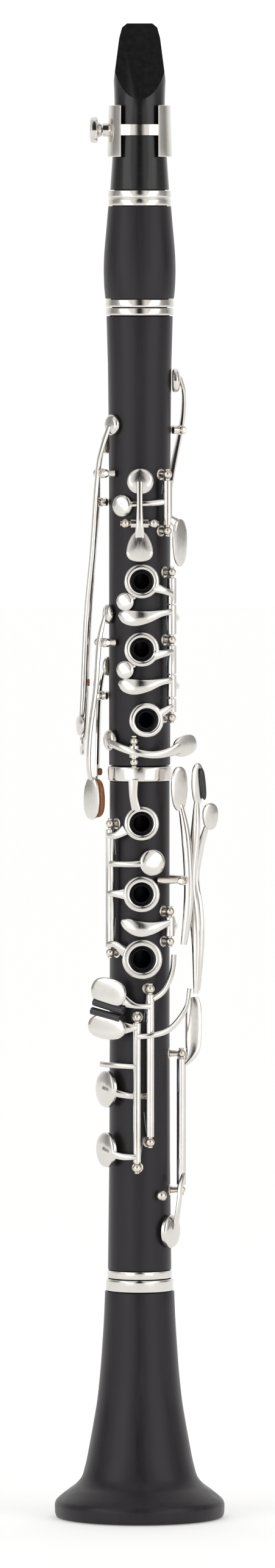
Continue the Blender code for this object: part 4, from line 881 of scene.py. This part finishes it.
# a dark gap where the photographer stands, two bright flanks, greyer sides and a white back, by heading
ab = wt.nodes.new("ShaderNodeMath"); ab.operation = "ABSOLUTE"
wt.links.new(sep.outputs["X"], ab.inputs[0])
neg = wt.nodes.new("ShaderNodeMath"); neg.operation = "MULTIPLY"
neg.inputs[1].default_value = -1.0
wt.links.new(sep.outputs["Y"], neg.inputs[0])
head_to = wt.nodes.new("ShaderNodeMath"); head_to.operation = "ARCTAN2"
wt.links.new(ab.outputs[0], head_to.inputs[0])
wt.links.new(neg.outputs[0], head_to.inputs[1])
unit = wt.nodes.new("ShaderNodeMath"); unit.operation = "DIVIDE"
unit.inputs[1].default_value = math.pi
wt.links.new(head_to.outputs[0], unit.inputs[0])
sky = wt.nodes.new("ShaderNodeValToRGB")
stops = [(0.0, 0.02), (0.035, 0.04), (0.11, 0.92), (0.38, 1.0), (0.46, 0.42), (0.60, 0.30), (0.74, 0.85), (0.84, 1.0)]
while len(sky.color_ramp.elements) < len(stops):
    sky.color_ramp.elements.new(0.5)
for e, (pos, v) in zip(sky.color_ramp.elements, stops):
    e.position, e.color = pos, (v, v * 0.995, v * 0.985, 1)
wt.links.new(unit.outputs[0], sky.inputs["Fac"])
wt.links.new(sky.outputs["Color"], bg.inputs["Color"])
bg.inputs["Strength"].default_value = 1.03
# what is seen straight behind the object is the plain white studio wall, from every side
wall = wt.nodes.new("ShaderNodeBackground")
wall.inputs["Color"].default_value = (1, 0.995, 0.985, 1)
wall.inputs["Strength"].default_value = 1.03
path = wt.nodes.new("ShaderNodeLightPath")
both = wt.nodes.new("ShaderNodeMixShader")
wt.links.new(path.outputs["Is Camera Ray"], both.inputs["Fac"])
wt.links.new(bg.outputs["Background"], both.inputs[1])
wt.links.new(wall.outputs["Background"], both.inputs[2])
wt.links.new(both.outputs["Shader"], wt.nodes["World Output"].inputs["Surface"])


def soft_light(name, loc, size, power, aim=(0, 0, 0.33)):
    d = bpy.data.lights.new(name, "AREA")
    d.shape = "RECTANGLE"
    d.size, d.size_y = size
    d.energy = power
    o = bpy.data.objects.new(name, d)
    o.location = loc
    o.rotation_euler = (Vector(aim) - Vector(loc)).to_track_quat("-Z", "Z").to_euler()
    bpy.context.scene.collection.objects.link(o)
    return o


soft_light("softbox_left", (-1.35, -1.25, 0.55), (0.8, 2.2), 4.5)
soft_light("softbox_right", (1.35, -1.25, 0.55), (0.8, 2.2), 4)

cam_data = bpy.data.cameras.new("camera")
cam = bpy.data.objects.new("camera", cam_data)
bpy.context.scene.collection.objects.link(cam)
cam_data.lens, cam_data.sensor_width = 258.6, 36
cam_data.clip_start, cam_data.clip_end = 0.1, 60
target = Vector((-0.00095, 0, 0.3268))
cam.location = (-0.00095, -5.0, 0.575)
cam.rotation_euler = (target - cam.location).to_track_quat("-Z", "Y").to_euler()
scene.camera = cam

bpy.context.view_layer.update()
